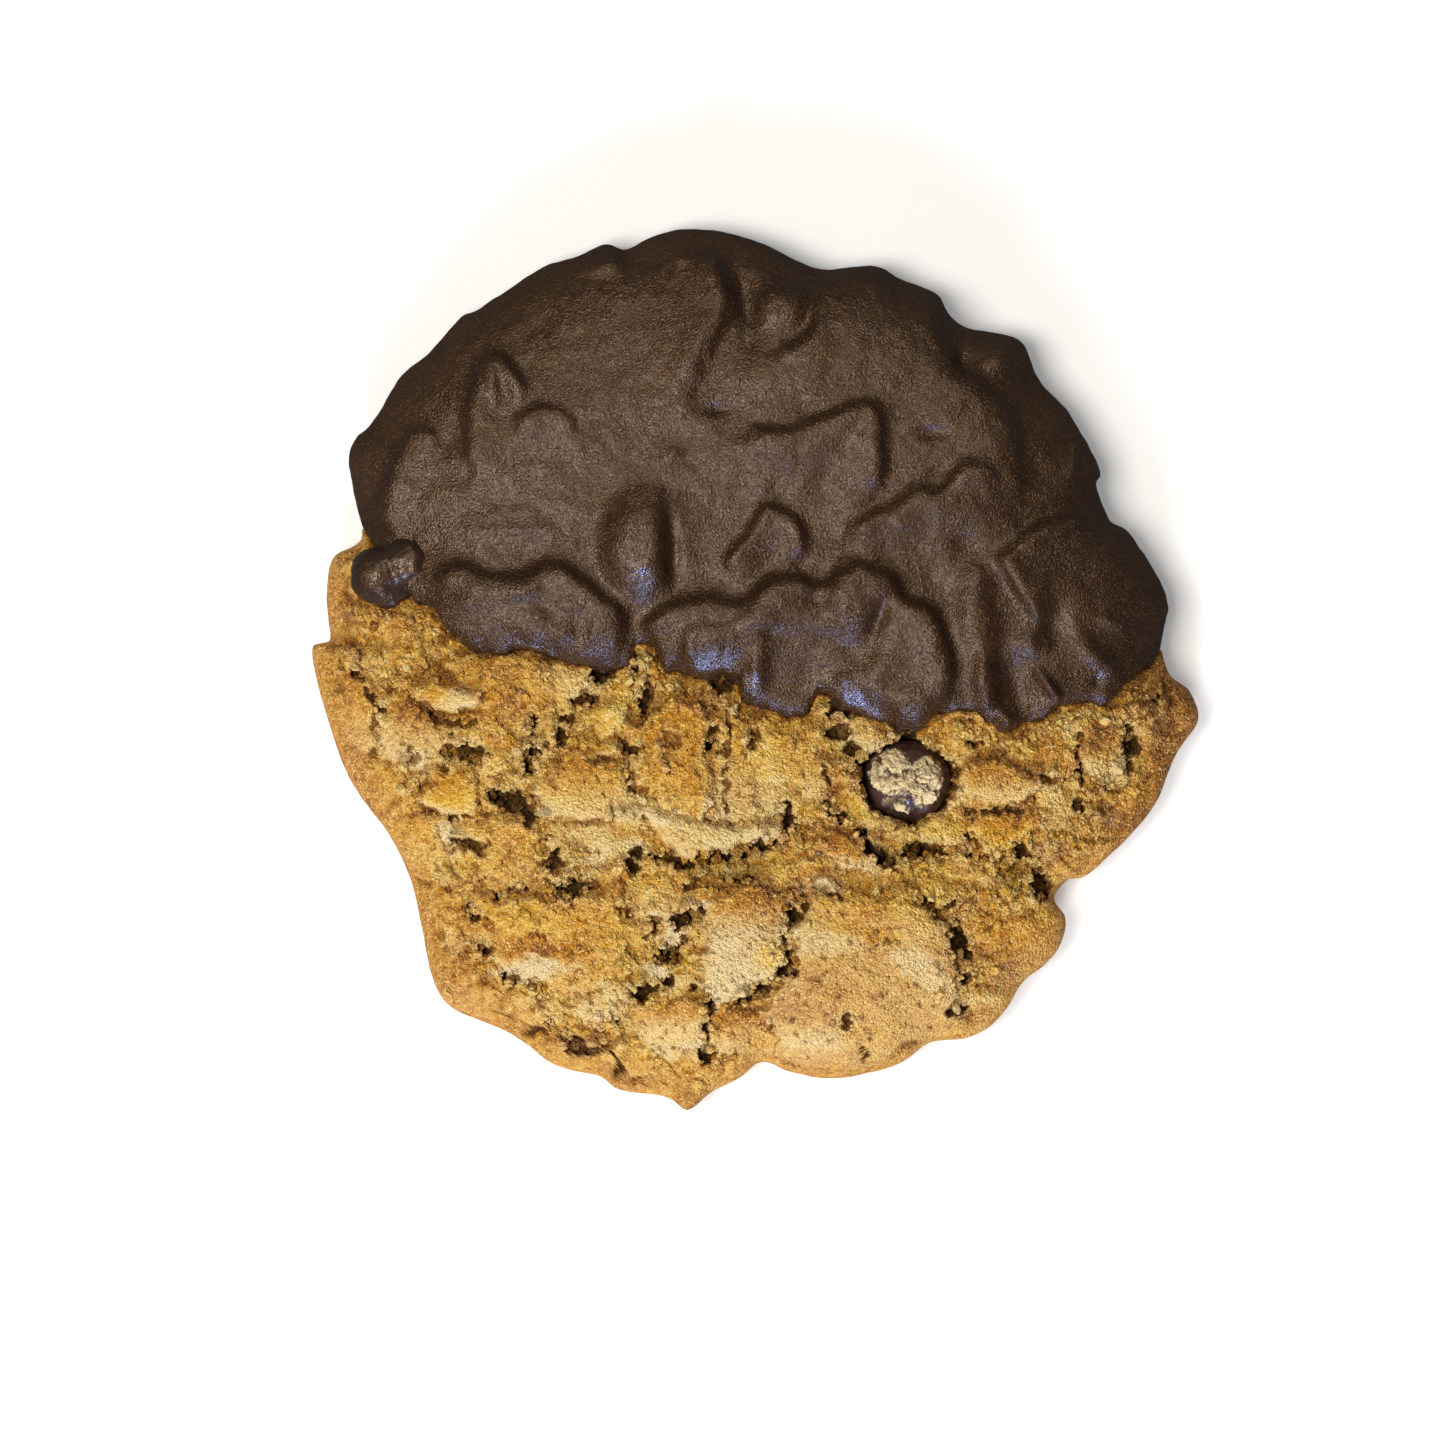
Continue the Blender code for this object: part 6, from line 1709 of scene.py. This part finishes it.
def chip_material(crumb_group, leather_group):
    """Glossy dark chip where it is bare, matte pale crumb where that covers it."""
    material, tree, shader = start_material("crumbed_chip")
    crumb = put(tree, "ShaderNodeGroup", {"node_tree": crumb_group})
    leather = put(tree, "ShaderNodeGroup", {"node_tree": leather_group})
    cover = point_value(tree, "cover")
    bare = blend_colours(tree, leather.outputs["Drift"], *CHIP_BROWNS)
    pale = blend_colours(tree, crumb.outputs["Mottle"], *CHIP_CRUMB)
    pale = blend_colours(tree, crumb.outputs["Specks"], pale, CHIP_SPECK)
    # The dark of pits: painted shade in the crumb's dips, and the real dark of burnt crumbs.
    pit = reckon(tree, "MULTIPLY", point_value(tree, "hollow"), 0.92)
    pale = blend_colours(tree, pit, pale, CHIP_PIT_SHADE_AND_BURN)
    tree.links.new(blend_colours(tree, cover, bare, pale), shader.inputs["Base Color"])
    tree.links.new(reckon(tree, "MULTIPLY_ADD", cover, 0.55, 0.28), shader.inputs["Roughness"])
    tree.links.new(reckon(tree, "MULTIPLY_ADD", cover, -0.3, 0.3), shader.inputs["Coat Weight"])
    depth = reckon(tree, "MULTIPLY", cover, crumb.outputs["Height"])
    depth = reckon(tree, "MULTIPLY_ADD", leather.outputs["Height"], 0.3, depth)
    bump = put(tree, "ShaderNodeBump", None, {"Distance": 0.15 * MM, "Height": depth})
    tree.links.new(bump.outputs["Normal"], shader.inputs["Normal"])
    return material


# ---- stage


FLOOR_HALF = 1500.0

# Lights: place and size in metres, watts, colour, and whether they light only what is matte
# (diffuse) or only what shines (glossy). Then the pale surround.
LIGHTS = {
    "front_softbox": ((-0.10, -0.66, 0.33), (0.26, 0.22), 4.75, (0.92, 0.95, 1.0), "diffuse"),
    "overhead_softbox": ((-0.34, -0.08, 0.90), (0.36, 0.46), 7.5, (1.0, 0.95, 0.87), None),
    "window": ((0.0, -0.66, 0.40), (0.10, 0.26), 5.2, (0.34, 0.48, 1.0), "glossy"),
    "back_softbox": ((0.06, 0.54, 0.74), (0.60, 0.20), 2.3, (1.0, 0.93, 0.84), "glossy"),
}
SURROUND = {"Color": (0.95, 0.97, 1.0, 1.0), "Strength": 0.09}

# View: millimetres for each pixel, pixels across, lens and sensor in millimetres, and the point of
# the table under the middle of the image.
PIXEL = 0.09
IMAGE_WIDTH = 1445
LENS = 200.0
SENSOR = 36.0
VIEW_CENTRE = (-2.97, -4.77)


def add_floor():
    """A wide pale floor that doesn't show in the chocolate's sheen."""
    corners = [(x * FLOOR_HALF * MM, y * FLOOR_HALF * MM, 0.0)
               for x, y in ((-1, -1), (1, -1), (1, 1), (-1, 1))]
    mesh = bpy.data.meshes.new("floor")
    mesh.from_pydata(corners, [], [(0, 1, 2, 3)])
    material, _, shader = start_material("pale_floor")
    shader.inputs["Base Color"].default_value = (0.93, 0.93, 0.93, 1.0)
    shader.inputs["Roughness"].default_value = 0.9
    shader.inputs["Emission Color"].default_value = (1.0, 1.0, 1.0, 1.0)
    shader.inputs["Emission Strength"].default_value = 0.25
    mesh.materials.append(material)
    floor = bpy.data.objects.new("floor", mesh)
    bpy.context.scene.collection.objects.link(floor)
    floor.visible_glossy = False


def add_light(name, place, size, watts, colour, only):
    """A soft rectangular light that faces the biscuit and can't be seen itself."""
    data = bpy.data.lights.new(name, "AREA")
    data.shape = "RECTANGLE"
    data.size, data.size_y = size
    data.energy = watts
    data.color = colour
    lamp = bpy.data.objects.new(name, data)
    lamp.location = place
    lamp.rotation_euler = (-lamp.location).to_track_quat("-Z", "Y").to_euler()
    lamp.visible_camera = False
    lamp.visible_diffuse = only != "glossy"
    lamp.visible_glossy = only != "diffuse"
    bpy.context.scene.collection.objects.link(lamp)


def add_lights():
    """All lights and a pale surround."""
    for name, row in LIGHTS.items():
        add_light(name, *row)
    world = bpy.data.worlds.new("studio")
    world.use_nodes = True
    background = world.node_tree.nodes["Background"]
    for socket, value in SURROUND.items():
        background.inputs[socket].default_value = value
    bpy.context.scene.world = world


def add_camera():
    """The camera straight above, so far up that the image spans its width at the edge's level."""
    data = bpy.data.cameras.new("camera")
    data.lens = LENS
    data.sensor_width = SENSOR
    data.clip_start, data.clip_end = 0.01, 10.0
    camera = bpy.data.objects.new("camera", data)
    height = EDGE_HEIGHT + PIXEL * IMAGE_WIDTH * LENS / SENSOR
    camera.location = (VIEW_CENTRE[0] * MM, VIEW_CENTRE[1] * MM, height * MM)
    bpy.context.scene.collection.objects.link(camera)
    bpy.context.scene.camera = camera
    bpy.context.scene.view_settings.view_transform = "Standard"


def build():
    """All pieces, the stage and the camera."""
    crumb_grain = crumb_grain_group()
    leather_grain = leather_grain_group()
    baked_crust = crust_material(crumb_grain)
    crust = make_crust(baked_crust)
    for name, row in CRUMBS.items():
        make_crumbs(name, crust, *row, baked_crust)
    make_chocolate(chocolate_material("dark_chocolate", leather_grain, COAT_BROWNS,
                                      roughness=0.255, grain_depth=0.165, sparkle=0.6))
    bead_chocolate = chocolate_material("smooth_chocolate", leather_grain, BEAD_BROWNS,
                                        roughness=0.36, grain_depth=0.08, sparkle=0.1)
    make_bead(bead_chocolate)
    make_chip(chip_material(crumb_grain, leather_grain))
    make_lump("buried_chip", *BURIED_CHIP, bead_chocolate, "chip", "chocolate_chip")
    make_lump("chocolate_drop", *CHOCOLATE_DROP, bead_chocolate, "chocolate", "chocolate_coat")
    make_lump("bare_spot", *BARE_SPOT, baked_crust, "crust", "biscuit", BARE_SPOT_TONE)
    add_floor()
    add_lights()
    add_camera()


build()
